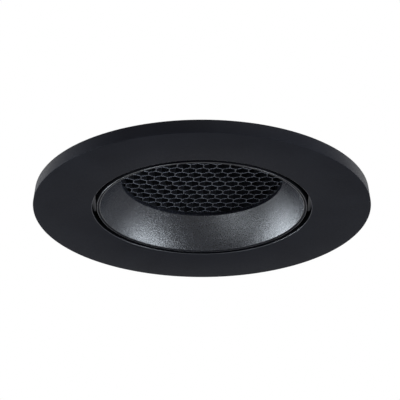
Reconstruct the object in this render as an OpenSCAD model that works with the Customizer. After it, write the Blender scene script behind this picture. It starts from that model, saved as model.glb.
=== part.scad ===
// Soffit downlight: a round flange with a tilting, honeycomb-fronted lamp
// module in its opening and two spring clips behind it.
// Millimetres. z = 0 is the face of the soffit, where the rim rests, on the
// flange's axis. +Z points up, into the soffit. The tilt axis lies along X.
// Heights named *_z are measured from the exposed face and are put into this
// frame by from_face().

/* [Flange] */
// Width of soffit that the flange covers round its hole
flange_lap = 7.5; // [7:0.1:10]
// Height of the rim, from the exposed face to the soffit
rim_h = 4; // [3.8:0.1:5]
// Radius lost by the rim's side wall between the face and the soffit
rim_draft = 0.5; // [0.2:0.1:0.8]
// Width of the rim's land on the soffit
rim_land = 1.3; // [1:0.1:1.6]
// Thickness of the flange plate
plate_t = 2.2; // [1.8:0.1:2.4]
// Chamfer round the exposed face, outside and at the opening
edge_chamfer = 0.3; // [0.2:0.05:0.5]

/* [Soffit hole] */
// Space for the clips between the collar and the locating wall
clip_space = 4.1; // [4:0.1:5]
// Radial play between the locating wall and the hole
cutout_gap = 0.7; // [0.5:0.1:1]
// Thickness of the locating wall
spigot_t = 1.2; // [1:0.1:1.4]
// Height of the locating wall past the soffit
spigot_h = 2.3; // [1.5:0.1:2.5]
// Height by which the free gasket stands past the rim
gasket_proud = 0.3; // [0.2:0.1:0.5]
// Radial play between the gasket and the rim
gasket_play = 0.3; // [0.2:0.1:0.5]
// Radial gap between the gasket and the locating wall
gasket_gap = 0.9; // [0.6:0.1:1.2]
// Number of ribs in a full turn between the collar and the locating wall
rib_steps = 24; // [16:4:32]
// Thickness of a rib
rib_t = 1; // [0.8:0.1:1.4]
// Height of a rib above the flange plate
rib_h = 2; // [1:0.1:2.5]

/* [Opening and pivots] */
// Width of the tilting ring behind its shoulder
ring_wall = 4.45; // [4.3:0.05:4.6]
// Gap between the tilting ring and the flange's opening
ring_gap = 1.2; // [1.1:0.1:1.4]
// Wall thickness of the collar round the opening
collar_t = 2.2; // [2:0.1:2.4]
// Height of the collar above the tilt axis
collar_rise = 4; // [3.9:0.1:4.3]
// Height of the tilt axis above the exposed face
pivot_z = 5.5; // [5.3:0.1:5.6]
// Largest tilt each way
tilt_max = 30; // [20:1:30]
// Depth by which the ring's two side flats cut into its edge
ring_flat_cut = 0.1; // [0.05:0.05:0.3]
// Gap between a side flat and its pivot boss
boss_gap = 0.3; // [0.2:0.05:0.4]
// Width of the pivot boss inside the opening
boss_w = 10.4; // [9.6:0.2:12]
// Height of the boss's lower edge above the exposed face
boss_low_z = 1.7; // [1.5:0.1:2.7]
// Depth by which the bracket seats stand out from the collar
seat_out = 1; // [0.8:0.1:1.3]
// Radius of the pivot screw's thread
pivot_screw_r = 1.5; // [1.25:0.25:1.5]
// Radius of the pivot screw's plain point
pivot_point_r = 1; // [0.9:0.05:1.1]
// Wall of the pivot bush
bush_wall = 0.6; // [0.5:0.05:0.7]
// Running clearance of the plain point in its bush
pivot_play = 0.05; // [0.02:0.01:0.08]
// Radius of the stop pin on the ring's flat
stop_pin_r = 0.6; // [0.5:0.05:0.6]
// Distance of the stop pin from the tilt axis
stop_arm = 2.9; // [2.8:0.05:3]
// Clearance of the stop pin in its curved slot
stop_play = 0.15; // [0.12:0.01:0.18]

/* [Reflector] */
// Width of the ring's lip beside the reflector
lip_t = 0.65; // [0.5:0.05:0.8]
// Setback of the reflector's edge from the exposed face
edge_setback = 0.3; // [0.2:0.05:0.5]
// Thickness of the reflector's front edge
edge_t = 0.25; // [0.2:0.05:0.4]
// Diameter of the throat, where the reflector ends at the louvre
throat_d = 43.2; // [42.6:0.1:43.6]
// Height of the throat above the exposed face
throat_z = 8; // [7.8:0.1:8.2]
// Outward bulge of the reflector's curve at mid height
curve_bulge = 0.5; // [0:0.1:0.8]
// Wall of the reflector, measured level
reflector_wall = 0.9; // [0.8:0.05:0.95]
// Thickness of the flange at the reflector's throat
throat_flange_t = 0.8; // [0.6:0.1:0.9]
// Width of the shoulder that the throat flange seats on
shoulder_w = 1.25; // [1:0.05:1.3]
// Steps in the reflector's curve
curve_steps = 10; // [6:1:14]

/* [Honeycomb louvre] */
// Depth of the honeycomb
louvre_t = 2.7; // [2.4:0.1:2.8]
// Cell pitch along X
cell_pitch = 3.52; // [3.2:0.02:4]
// Row pitch along Y
row_pitch = 2.66; // [2.4:0.02:2.9]
// Length of the straight bonded walls
bond_len = 1.7; // [1.4:0.05:1.9]
// Thickness of one foil
foil_t = 0.12; // [0.1:0.01:0.16]
// Width of the solid band round the cells
band_w = 0.7; // [0.6:0.05:0.9]
// Margin between the throat and the band's outside
band_margin = 1; // [0.9:0.05:1.1]
// Sideways lean of the columns per row, from stretching the foil
column_lean = 0.115; // [0:0.005:0.2]
// Sag of the rows at the -X edge, from stretching the foil
row_sag = 2; // [0:0.05:3]
// Place of the middle cell along X
middle_cell_x = -0.3; // [-1.7:0.1:1.7]
// Place of the middle cell along Y
middle_cell_y = 1.2; // [-1.3:0.1:1.3]

/* [Louvre ring, lens and lamp] */
// Wall of the louvre ring's sleeve
sleeve_t = 0.85; // [0.7:0.05:0.9]
// Thickness of the louvre ring's lip under the honeycomb
louvre_lip_t = 0.3; // [0.25:0.05:0.4]
// Width of that lip under the honeycomb
louvre_lip_w = 0.5; // [0.4:0.05:0.6]
// General fitting clearance between parts that are put together
fit = 0.1; // [0.05:0.01:0.12]
// Thickness of the lens
lens_t = 0.7; // [0.6:0.05:0.8]
// Edge play of the lens in the heat sink
lens_play = 0.2; // [0.15:0.05:0.3]
// Thickness of the lens seal
lens_seal_t = 0.4; // [0.3:0.05:0.5]
// Width of the lens seal
lens_seal_w = 1.6; // [1.2:0.1:1.8]
// Width by which the lamp board is smaller than the throat, all round
board_inset = 1.3; // [1.1:0.1:2]
// Radial play of the lamp board in the heat sink
board_play = 0.3; // [0.2:0.05:0.4]
// Thickness of the lamp board
board_t = 0.8; // [0.7:0.05:0.9]
// Side length of a light-emitting chip
chip_w = 3; // [2.4:0.1:3.2]
// Thickness of a chip
chip_t = 0.35; // [0.3:0.05:0.4]
// Gap between the lens and the chips
chip_gap = 0.3; // [0.25:0.05:0.35]
// Chips in the outer circle
chip_count = 9; // [6:1:12]
// Distance of the chips' middles from the board's edge
chip_edge = 7.3; // [5:0.1:9]
// Thickness of the thermal pad
pad_t = 0.25; // [0.2:0.05:0.3]

/* [Heat sink] */
// Wall between the lens and the flange's outside
sink_wall = 2.9; // [2.7:0.05:3]
// Thickness of the heat sink's flange
sink_flange_t = 1.2; // [1.1:0.1:1.3]
// Thickness of the heat sink's base over the lamp board
sink_base_t = 1.2; // [1:0.1:1.4]
// Drop of the fins' sloping tops per millimetre of radius
fin_slope = 0.47; // [0.45:0.01:0.5]
// Number of fins
fin_count = 24; // [16:2:28]
// Thickness of a fin
fin_t = 1.1; // [0.9:0.1:1.3]
// Distance that the fins' inner tops stand back from the hub
fin_setback = 3.4; // [2.5:0.1:4]
// Radius of the round hub under the cable gland
hub_r = 7; // [6.6:0.1:7.4]
// Height of the hub above the heat sink's base
hub_h = 1.5; // [1.2:0.1:2]
// Distance of the housing screws from the ring's rear bore
housing_screw_in = 1.65; // [1.5:0.05:1.8]
// Angle of the housing screws from the tilt axis
housing_screw_angle = 33; // [30:1:45]
// Radius of the ears round the housing screws
ear_r = 2; // [1.9:0.05:2]
// Depth of the spot face under a housing screw's head
spot_face_t = 0.2; // [0.1:0.05:0.3]
// Length of a housing screw below its head
housing_screw_len = 3.6; // [3:0.1:3.8]

/* [Screws] */
// Radius of a small screw's thread
screw_r = 0.8; // [0.7:0.05:0.85]
// Radius of a small screw's head
screw_head_r = 1.6; // [1.4:0.05:1.65]
// Height of a small screw's head
screw_head_h = 1; // [0.8:0.1:1.1]
// Width of the cross recess in a small screw's head
recess_w = 0.4; // [0.3:0.05:0.5]

/* [Cable gland] */
// Radius of the gland's thread
gland_r = 4; // [3.8:0.1:4.2]
// Width across the gland's flats
gland_flats = 10; // [9.6:0.1:10.2]
// Height of the gland body's hexagon
gland_hex_h = 2; // [1.8:0.1:2.2]
// Length of the thread under the nut
gland_neck_h = 2.4; // [2:0.1:2.6]
// Height of the domed nut
gland_nut_h = 3.4; // [3.2:0.1:3.5]
// Radius of the cable hole
cable_r = 2.3; // [2:0.1:2.4]
// Wall of the rubber seal round the cable
gland_seal_wall = 0.7; // [0.6:0.05:0.8]
// Thread engagement of the gland in the hub
gland_grip = 2; // [1.6:0.1:2.2]

/* [Spring clips] */
// Distance of the clip pins from the bracket seats
clip_out = 1.7; // [1.6:0.05:1.8]
// Radius of the clip pin
clip_pin_r = 0.8; // [0.7:0.05:0.85]
// Radius of the eyes round the pin
eye_r = 1.5; // [1.4:0.05:1.55]
// Thickness of the bracket's sheet
bracket_t = 0.8; // [0.7:0.05:0.9]
// Width of the bracket outside its ears
bracket_w = 14.8; // [14.6:0.1:15.2]
// Height of the bracket's lower edge above the flange plate
bracket_foot = 0.8; // [0.6:0.1:1]
// Distance of the bracket screws from the middle
bracket_screw_y = 4.9; // [4.8:0.05:5]
// Height of the bracket screws above the tilt axis
bracket_screw_rise = 0.5; // [0:0.1:0.8]
// Sheet thickness of the clip arm
arm_t = 0.8; // [0.6:0.05:0.9]
// Side play between the arm's cheeks and the bracket's ears
cheek_play = 0.3; // [0.25:0.05:0.4]
// Length of the arm from its pin
arm_len = 9; // [8.6:0.1:9.1]
// Angle of the resting arm below level
arm_drop = 22; // [20:0.5:22.5]
// Width of the arm's tip
arm_tip_w = 9; // [8:0.5:10]
// Thickness of the rubber pad under the tip
tip_pad_t = 0.8; // [0.6:0.1:0.9]
// Length of the rubber pad
tip_pad_len = 3.6; // [3:0.1:4]
// Radius of the spring's wire
wire_r = 0.35; // [0.3:0.05:0.35]
// Radius of the spring's coil, to the middle of the wire
coil_r = 1.45; // [1.4:0.05:1.5]
// Full curls in the spring
curl_count = 6; // [4:1:6]
// Advance of the spring per curl
curl_pitch = 1.2; // [1.15:0.05:1.25]
// Length of the spring's leg over the collar
fixed_leg = 4; // [3.4:0.1:4.2]
// Length of the spring's leg on the arm
moving_leg = 6.4; // [5:0.1:7]
// Gap between a spring leg and what it rests on
leg_gap = 0.1; // [0.05:0.05:0.15]

/* [Hidden] */
$fn = 96;
eps = 0.01;
past = 1;

// Louvre and what holds it, outwards from the throat
throat_r = throat_d / 2;
louvre_r = throat_r + band_margin;
cells_r = louvre_r - band_w;
sleeve_in_r = louvre_r + fit;
sleeve_r = sleeve_in_r + sleeve_t;
rear_bore_r = sleeve_r + fit;
throat_flange_r = rear_bore_r + shoulder_w;

// Tilting ring: its outside is a ball about the tilt axis
ring_r = rear_bore_r + ring_wall;
ball_r = sqrt(ring_r * ring_r + pivot_z * pivot_z);
flat_x = ring_r - ring_flat_cut;
boss_x = flat_x + boss_gap;
mouth_r = ring_r - lip_t;
edge_out_r = mouth_r - fit / 2;
reflector_mouth_r = edge_out_r - edge_t;

// Flange, outwards from the opening
opening_r = ring_r + ring_gap;
collar_r = opening_r + collar_t;
collar_z = pivot_z + collar_rise;
spigot_in_r = collar_r + clip_space;
spigot_r = spigot_in_r + spigot_t;
cutout_r = spigot_r + cutout_gap;
flange_r = cutout_r + flange_lap;
rim_top_r = flange_r - rim_draft;
land_in_r = rim_top_r - rim_land;
gasket_in_r = spigot_r + gasket_gap;
gasket_out_r = land_in_r - gasket_play;
seat_x = collar_r + seat_out;

// Heights of the stack: louvre, lens, chips, board and pad
throat_top_z = throat_z + throat_flange_t;
shoulder_z = throat_top_z + fit;
louvre_z = shoulder_z + louvre_lip_t;
louvre_top_z = louvre_z + louvre_t;
ring_top_z = louvre_top_z + fit;
lens_top_z = louvre_top_z + lens_t;
seal_top_z = lens_top_z + lens_seal_t;
chip_z = lens_top_z + chip_gap;
board_z = chip_z + chip_t;
pad_z = board_z + board_t;
roof_z = pad_z + pad_t;
lens_r = louvre_r + lens_play;
board_r = throat_r - board_inset;
chip_circle_r = board_r - chip_edge;

// Heat sink
lens_pocket_r = lens_r + lens_play;
board_pocket_r = board_r + board_play;
sink_r = lens_pocket_r + sink_wall;
sink_flange_z = ring_top_z + sink_flange_t;
sink_base_z = roof_z + sink_base_t;
screw_seat_z = sink_flange_z - spot_face_t;
housing_screw_x = rear_bore_r + housing_screw_in;
hub_z = sink_base_z + hub_h;
gland_seat_z = hub_z - gland_grip;
lead_r = cable_r + 2 * fit;

// Clips
clip_x = seat_x + clip_out;
clip_z = collar_z + leg_gap + wire_r + coil_r;
bracket_low_z = plate_t + bracket_foot;
bracket_top_z = collar_z - 2 * leg_gap;
gusset_w = 1;
bracket_screw_z = pivot_z + bracket_screw_rise;
ear_out_y = bracket_w / 2;
ear_in_y = ear_out_y - bracket_t;
cheek_out_y = ear_in_y - cheek_play;
cheek_in_y = cheek_out_y - arm_t;
web_top_v = -(coil_r + wire_r + leg_gap);
web_low_v = web_top_v - arm_t;
web_start = eye_r + arm_t;
coil_half = curl_count * curl_pitch / 2;

// ---- Shared helpers ----

// Moves heights measured from the exposed face into the part's frame
module from_face() {
    translate([0, 0, -rim_h]) children();
}

// A ring with a square section, from z0 to z1
module band(r_in, r_out, z0, z1) {
    translate([0, 0, z0])
        difference() {
            cylinder(r = r_out, h = z1 - z0);
            translate([0, 0, -eps]) cylinder(r = r_in, h = z1 - z0 + 2 * eps);
        }
}

// A rod along +X from x0 to x1 at height z
module rod_x(r, x0, x1, z = 0, y = 0) {
    translate([x0, y, z]) rotate([0, 90, 0]) cylinder(r = r, h = x1 - x0);
}

// A rod along Y, centred on y = 0
module rod_y(r, length, x = 0, z = 0) {
    translate([x, length / 2, z]) rotate([90, 0, 0]) cylinder(r = r, h = length);
}

// A plate with its outline in the XZ plane, from y0 to y1
module plate_xz(y0, y1) {
    translate([0, y1, 0]) rotate([90, 0, 0]) linear_extrude(y1 - y0) children();
}

// Puts children on the +X side, or turned to the -X side
module on_side(side) {
    rotate([0, 0, side > 0 ? 0 : 180]) children();
}

// A pan-head screw with its seat at z = 0, the head up and the thread down
module small_screw(thread_len) {
    difference() {
        union() {
            cylinder(r1 = screw_head_r, r2 = screw_head_r * 0.8, h = screw_head_h);
            translate([0, 0, -thread_len]) cylinder(r = screw_r, h = thread_len + eps);
        }
        for (turn = [0, 90])
            rotate([0, 0, turn])
                translate([-screw_r, -recess_w / 2, screw_head_h / 2])
                    cube([2 * screw_r, recess_w, screw_head_h]);
    }
}

module at_housing_screws() {
    for (turn = [housing_screw_angle, 180 - housing_screw_angle,
                 180 + housing_screw_angle, -housing_screw_angle])
        rotate([0, 0, turn]) translate([housing_screw_x, 0, 0]) children();
}

// ---- Flange ----

// Section of the flange with its rim, locating wall and collar
module trim_section() {
    polygon([
        [opening_r + edge_chamfer, 0],
        [flange_r - edge_chamfer, 0],
        [flange_r, edge_chamfer],
        [rim_top_r, rim_h],
        [land_in_r, rim_h],
        [land_in_r, plate_t],
        [spigot_r, plate_t],
        [spigot_r, rim_h + spigot_h],
        [spigot_in_r, rim_h + spigot_h],
        [spigot_in_r, plate_t],
        [collar_r, plate_t],
        [collar_r, collar_z],
        [opening_r, collar_z],
        [opening_r, edge_chamfer]
    ]);
}

// Boss that carries a pivot inside and a clip bracket outside
module pivot_block() {
    intersection() {
        translate([boss_x, -boss_w / 2, boss_low_z])
            cube([collar_r - boss_x, boss_w, collar_z - boss_low_z]);
        cylinder(r = collar_r - eps, h = collar_z);
    }
    difference() {
        translate([opening_r, -ear_out_y, plate_t - eps])
            cube([seat_x - opening_r, bracket_w, collar_z - plate_t + eps]);
        translate([0, 0, -eps]) cylinder(r = opening_r + eps, h = collar_z + 1);
    }
}

// Curved slot in which the stop pin travels
module stop_slot() {
    slot_r = stop_pin_r + stop_play;
    depth = opening_r - boss_x + eps;
    translate([boss_x - eps, 0, pivot_z])
        rotate([0, 90, 0]) {
            rotate([0, 0, 180 - tilt_max])
                rotate_extrude(angle = 2 * tilt_max)
                    translate([stop_arm - slot_r, 0]) square([2 * slot_r, depth]);
            for (turn = [-tilt_max, tilt_max])
                rotate([0, 0, 180 + turn]) translate([stop_arm, 0, 0])
                    cylinder(r = slot_r, h = depth);
        }
}

module trim_ring() {
    color([0.045, 0.047, 0.055])
    from_face()
    difference() {
        union() {
            rotate_extrude() trim_section();
            for (side = [-1, 1]) on_side(side) pivot_block();
            for (turn = [0 : 360 / rib_steps : 359])
                if (abs(sin(turn)) * collar_r > ear_out_y + rib_t)
                    rotate([0, 0, turn])
                        translate([collar_r - eps, -rib_t / 2, plate_t - eps])
                            cube([clip_space + 2 * eps, rib_t, rib_h]);
        }
        for (side = [-1, 1])
            on_side(side) {
                rod_x(pivot_screw_r + fit / 2, boss_x - 1, seat_x + 1, pivot_z);
                stop_slot();
                for (y = [-bracket_screw_y, bracket_screw_y])
                    rod_x(screw_r + fit / 2, collar_r - 1.4, seat_x + 1, bracket_screw_z, y);
            }
    }
}

module soffit_gasket() {
    color([0.09, 0.09, 0.09])
    from_face()
    band(gasket_in_r, gasket_out_r, plate_t, rim_h + gasket_proud);
}

// ---- Pivots ----

// Headless screw with a plain point that turns in the ring's bush
module pivot_screw(side) {
    shoulder_x = boss_x + 0.2;
    end_x = seat_x - 0.2;
    color([0.62, 0.62, 0.64])
    from_face()
    on_side(side)
    difference() {
        union() {
            rod_x(pivot_screw_r, shoulder_x, end_x, pivot_z);
            rod_x(pivot_point_r, bush_in_x + fit, shoulder_x + eps, pivot_z);
        }
        translate([end_x - 1.2, 0, pivot_z]) rotate([0, 90, 0])
            cylinder(r = pivot_screw_r / 2, h = 2, $fn = 6);
    }
}

module pivot_bush(side) {
    color([0.85, 0.84, 0.8])
    from_face()
    on_side(side)
    difference() {
        rod_x(bush_r, bush_in_x, flat_x, pivot_z);
        rod_x(bush_bore_r, bush_in_x - 1, flat_x + 1, pivot_z);
    }
}

// ---- Tilting ring and reflector ----

// Inner radius of the reflector at height z
function reflector_r(z) =
    let (t = (z - edge_setback) / (throat_z - edge_setback))
    reflector_mouth_r + (throat_r - reflector_mouth_r) * t + 4 * curve_bulge * t * (1 - t);

// Both bushes end clear of the reflector's outside at the bush's lowest point
bush_bore_r = pivot_point_r + pivot_play;
bush_r = bush_bore_r + bush_wall;
bush_in_x = reflector_r(pivot_z - bush_r) + reflector_wall + 2 * fit;

function curve_z(i) = edge_setback + (throat_z - edge_setback) * i / curve_steps;

reflector_back = [
    for (i = [1 : curve_steps - 1])
        [min(edge_out_r, reflector_r(curve_z(i)) + reflector_wall), curve_z(i)]
];

// Inside of the tilting ring: clear of the reflector, then the two bores
ring_inside = concat(
    [[mouth_r, -1], [mouth_r, edge_setback]],
    [for (p = reflector_back) [max(min(mouth_r, p[0] + 2 * fit), throat_flange_r + fit), p[1]]],
    [
        [throat_flange_r + fit, shoulder_z],
        [rear_bore_r, shoulder_z],
        [rear_bore_r, ring_top_z + 1],
        [0, ring_top_z + 1],
        [0, -1]
    ]
);

module gimbal_ring() {
    color([0.05, 0.052, 0.058])
    from_face()
    difference() {
        union() {
            intersection() {
                rotate_extrude()
                    difference() {
                        intersection() {
                            translate([0, pivot_z]) circle(r = ball_r, $fn = 180);
                            square([ball_r + 1, ring_top_z]);
                        }
                        polygon(ring_inside);
                    }
                translate([-flat_x, -ball_r, 0]) cube([2 * flat_x, 2 * ball_r, ring_top_z]);
            }
            for (side = [-1, 1])
                on_side(side)
                    rod_x(stop_pin_r, flat_x - 0.5, opening_r - stop_play, pivot_z + stop_arm);
        }
        for (side = [-1, 1])
            on_side(side) rod_x(bush_r + fit / 2, throat_r, flat_x + 1, pivot_z);
        at_housing_screws()
            translate([0, 0, screw_seat_z - housing_screw_len - fit])
                cylinder(r = screw_r + fit / 2, h = housing_screw_len + 1);
    }
}

module reflector() {
    color([0.1, 0.105, 0.115])
    from_face()
    rotate_extrude()
        polygon(concat(
            [[edge_out_r, edge_setback]],
            reflector_back,
            [
                [throat_r + reflector_wall, throat_z],
                [throat_flange_r, throat_z],
                [throat_flange_r, throat_top_z],
                [throat_r, throat_top_z]
            ],
            [for (i = [curve_steps : -1 : 0]) [reflector_r(curve_z(i)), curve_z(i)]]
        ));
}

// ---- Honeycomb louvre ----

// Where the stretched foil carries the point of an even honeycomb
function stretched(p) = [
    p[0] - column_lean * p[1],
    p[1] - row_sag * pow(min(p[0] / cells_r, 0), 2)
];

// Corner offsets of an even cell, from its centre
slope_h = row_pitch - bond_len;
cell_corners = [
    [cell_pitch / 2, -bond_len / 2], [cell_pitch / 2, bond_len / 2],
    [0, bond_len / 2 + slope_h],
    [-cell_pitch / 2, bond_len / 2], [-cell_pitch / 2, -bond_len / 2],
    [0, -bond_len / 2 - slope_h]
];

// The bonded walls are two foils thick and the sloping ones a single foil
inset_x = 1 - 2 * foil_t / cell_pitch;
inset_y = 1 - foil_t / (bond_len + 2 * slope_h);

module cell(centre) {
    polygon([
        for (c = cell_corners)
            stretched([centre[0] + c[0] * inset_x, centre[1] + c[1] * inset_y])
    ]);
}

module honeycomb_louvre() {
    rows = ceil(cells_r / row_pitch) + 1;
    columns = ceil(cells_r * (1 + column_lean) / cell_pitch) + 1;
    reach = cells_r + 0.2 * cell_pitch;
    color([0.07, 0.075, 0.085])
    from_face()
    translate([0, 0, louvre_z])
    linear_extrude(louvre_t)
    difference() {
        circle(r = louvre_r);
        intersection() {
            circle(r = cells_r);
            for (row = [-rows : rows], column = [-columns : columns]) {
                centre = [
                    middle_cell_x + (column + (row % 2 == 0 ? 0 : 0.5)) * cell_pitch,
                    middle_cell_y + row * row_pitch
                ];
                if (norm(stretched(centre)) < reach) cell(centre);
            }
        }
    }
}

module louvre_ring() {
    color([0.06, 0.062, 0.07])
    from_face()
    union() {
        band(sleeve_in_r, sleeve_r, shoulder_z, louvre_top_z);
        band(louvre_r - louvre_lip_w, sleeve_r - eps, shoulder_z, louvre_z);
    }
}

// ---- Lens and lamp ----

module lens() {
    color([0.85, 0.88, 0.9, 0.35])
    from_face()
    translate([0, 0, louvre_top_z]) cylinder(r = lens_r, h = lens_t);
}

module lens_seal() {
    color([0.75, 0.75, 0.74])
    from_face()
    band(lens_r - lens_seal_w, lens_r, lens_top_z, seal_top_z);
}

module led_chips() {
    color([0.93, 0.82, 0.35])
    from_face()
    for (i = [0 : chip_count - 1])
        rotate([0, 0, i * 360 / chip_count])
            translate([chip_circle_r - chip_w / 2, -chip_w / 2, chip_z])
                cube([chip_w, chip_w, chip_t]);
}

module led_board() {
    color([0.92, 0.93, 0.92])
    from_face()
    band(lead_r, board_r, board_z, pad_z);
}

module thermal_pad() {
    color([0.5, 0.52, 0.56])
    from_face()
    band(lead_r, board_r, pad_z, roof_z);
}

// ---- Heat sink ----

function fin_top_z(r) = sink_base_z + fin_slope * (board_pocket_r - r);
function fin_top_r(z) = board_pocket_r - (z - sink_base_z) / fin_slope;

module heat_sink() {
    dome_low_z = ring_top_z + sink_flange_t / 4;
    dome_r = sink_r - 0.9;
    fin_in_r = hub_r + fin_setback;
    fin_low_z = sink_base_z - sink_base_t / 2;
    fin_end_r = fin_top_r(sink_base_z - sink_base_t / 4);
    color([0.2, 0.205, 0.215])
    from_face()
    difference() {
        union() {
            translate([0, 0, ring_top_z])
                linear_extrude(sink_flange_t) {
                    circle(r = sink_r);
                    at_housing_screws() circle(r = ear_r);
                }
            rotate_extrude()
                polygon([
                    [0, dome_low_z], [dome_r, dome_low_z], [dome_r, sink_flange_z],
                    [board_pocket_r + 0.5, sink_base_z],
                    [hub_r, sink_base_z], [hub_r, hub_z], [0, hub_z]
                ]);
            intersection() {
                rotate_extrude()
                    polygon([
                        [hub_r - 1, fin_low_z], [fin_end_r, fin_low_z],
                        [fin_end_r, fin_top_z(fin_end_r)],
                        [fin_in_r, fin_top_z(fin_in_r)], [hub_r - 1, hub_z - 0.5]
                    ]);
                for (i = [0 : fin_count - 1])
                    rotate([0, 0, i * 360 / fin_count])
                        translate([0, -fin_t / 2, roof_z]) cube([sink_r, fin_t, sink_r]);
            }
        }
        translate([0, 0, ring_top_z - 1]) cylinder(r = lens_pocket_r, h = seal_top_z - ring_top_z + 1);
        translate([0, 0, ring_top_z]) cylinder(r = board_pocket_r, h = roof_z - ring_top_z);
        translate([0, 0, roof_z - 1]) cylinder(r = lead_r, h = hub_z);
        translate([0, 0, gland_seat_z]) cylinder(r = gland_r + fit / 2, h = hub_z);
        at_housing_screws() {
            translate([0, 0, ring_top_z - past]) cylinder(r = screw_r + fit, h = sink_r);
            translate([0, 0, screw_seat_z]) cylinder(r = screw_head_r + fit, h = sink_r);
        }
    }
}

module housing_screws() {
    color([0.6, 0.6, 0.62])
    from_face()
    at_housing_screws() translate([0, 0, screw_seat_z]) small_screw(housing_screw_len);
}

// ---- Cable gland ----

gland_hex_r = gland_flats / 2 / cos(30);
gland_bore_r = cable_r + gland_seal_wall;
gland_neck_z = hub_z + gland_hex_h;
gland_neck_r = gland_bore_r + 0.9;
gland_nut_z = gland_neck_z + fit;
gland_top_z = gland_nut_z + gland_nut_h;
gland_seal_low_z = gland_neck_z - 0.6;
gland_seal_top_z = gland_neck_z + gland_neck_h;

module gland_body() {
    color([0.1, 0.1, 0.1])
    from_face()
    difference() {
        union() {
            translate([0, 0, gland_seat_z]) cylinder(r = gland_r, h = gland_grip + eps);
            translate([0, 0, hub_z]) cylinder(r = gland_hex_r, h = gland_hex_h, $fn = 6);
            translate([0, 0, gland_neck_z - eps]) cylinder(r = gland_neck_r, h = gland_neck_h + eps);
        }
        translate([0, 0, gland_seat_z - 1]) cylinder(r = lead_r, h = gland_seal_top_z);
        translate([0, 0, gland_seal_low_z]) cylinder(r = gland_bore_r, h = gland_neck_h + 2);
    }
}

module gland_seal() {
    color([0.2, 0.2, 0.2])
    from_face()
    band(cable_r, gland_bore_r, gland_seal_low_z, gland_seal_top_z);
}

module gland_nut() {
    color([0.12, 0.12, 0.12])
    from_face()
    difference() {
        intersection() {
            translate([0, 0, gland_nut_z]) cylinder(r = gland_hex_r, h = gland_nut_h, $fn = 6);
            translate([0, 0, gland_nut_z])
                cylinder(r1 = gland_hex_r * 1.35, r2 = gland_hex_r * 0.72, h = gland_nut_h);
        }
        translate([0, 0, gland_nut_z - 1]) cylinder(r = gland_neck_r + fit, h = gland_neck_h + 1);
        translate([0, 0, gland_nut_z - 1]) cylinder(r = lead_r, h = gland_nut_h + 2);
    }
}

// ---- Spring clips ----

// Sheet bracket: a web on the collar's seat and two ears for the pin
module clip_bracket(side) {
    web_x = seat_x + bracket_t;
    color([0.68, 0.69, 0.71])
    from_face()
    on_side(side)
    difference() {
        union() {
            translate([seat_x, -ear_out_y, bracket_low_z])
                cube([bracket_t, bracket_w, bracket_top_z - bracket_low_z]);
            for (y = [-ear_out_y, ear_in_y])
                plate_xz(y, y + bracket_t) {
                    translate([clip_x, clip_z]) circle(r = eye_r);
                    polygon([
                        [seat_x, bracket_top_z - 2 * eye_r],
                        [web_x + gusset_w, bracket_top_z - 2 * gusset_w],
                        [clip_x + eye_r * 0.94, clip_z - eye_r * 0.35],
                        [clip_x - eye_r * 0.9, clip_z + eye_r * 0.44],
                        [seat_x, bracket_top_z]
                    ]);
                }
        }
        rod_y(clip_pin_r, bracket_w + 2, clip_x, clip_z);
        rod_x(pivot_screw_r + 3 * fit, seat_x - 1, web_x + 1, pivot_z);
        for (y = [-bracket_screw_y, bracket_screw_y])
            rod_x(screw_r + fit, seat_x - 1, web_x + 1, bracket_screw_z, y);
    }
}

module bracket_screws() {
    color([0.6, 0.6, 0.62])
    from_face()
    for (side = [-1, 1], y = [-bracket_screw_y, bracket_screw_y])
        on_side(side)
            translate([seat_x + bracket_t, y, bracket_screw_z])
                rotate([0, 90, 0]) small_screw(seat_x + bracket_t - collar_r + 1.2);
}

module clip_pin(side) {
    head_t = 0.5;
    color([0.72, 0.72, 0.73])
    from_face()
    on_side(side) {
        rod_y(clip_pin_r, bracket_w + head_t, clip_x, clip_z);
        for (y = [-ear_out_y - head_t / 2, ear_out_y + head_t / 2])
            translate([0, y, 0]) rod_y(clip_pin_r + 0.3, head_t, clip_x, clip_z);
    }
}

// Moves a clip's own frame, u along the arm and v square to it, onto its pin
module on_pin(side) {
    from_face() on_side(side) translate([clip_x, 0, clip_z]) rotate([0, arm_drop, 0]) children();
}

// Pressed arm: two cheeks on the pin joined by a web under the spring's leg
module clip_arm(side) {
    color([0.7, 0.71, 0.73])
    on_pin(side)
    difference() {
        union() {
            for (y = [-cheek_out_y, cheek_in_y])
                plate_xz(y, y + arm_t) {
                    circle(r = eye_r);
                    polygon([
                        [-eye_r * 0.7, -eye_r * 0.71], [web_start, web_low_v],
                        [arm_len * 0.75, web_low_v], [arm_len * 0.75, web_top_v],
                        [eye_r * 0.7, eye_r * 0.71]
                    ]);
                }
            translate([0, 0, web_low_v])
                linear_extrude(arm_t)
                    polygon([
                        [web_start, -cheek_out_y], [arm_len * 0.75, -cheek_out_y],
                        [arm_len - 1, -arm_tip_w / 2], [arm_len, -arm_tip_w / 2 + 1],
                        [arm_len, arm_tip_w / 2 - 1], [arm_len - 1, arm_tip_w / 2],
                        [arm_len * 0.75, cheek_out_y], [web_start, cheek_out_y]
                    ]);
        }
        rod_y(clip_pin_r + pivot_play, bracket_w, 0, 0);
    }
}

// Rubber pad under the arm's tip, held by two moulded studs
module clip_pad(side) {
    color([0.12, 0.12, 0.12])
    on_pin(side)
    translate([arm_len - tip_pad_len - 0.2, -arm_tip_w / 2 + 1, web_low_v - tip_pad_t])
        cube([tip_pad_len, arm_tip_w - 2, tip_pad_t]);
}

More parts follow.
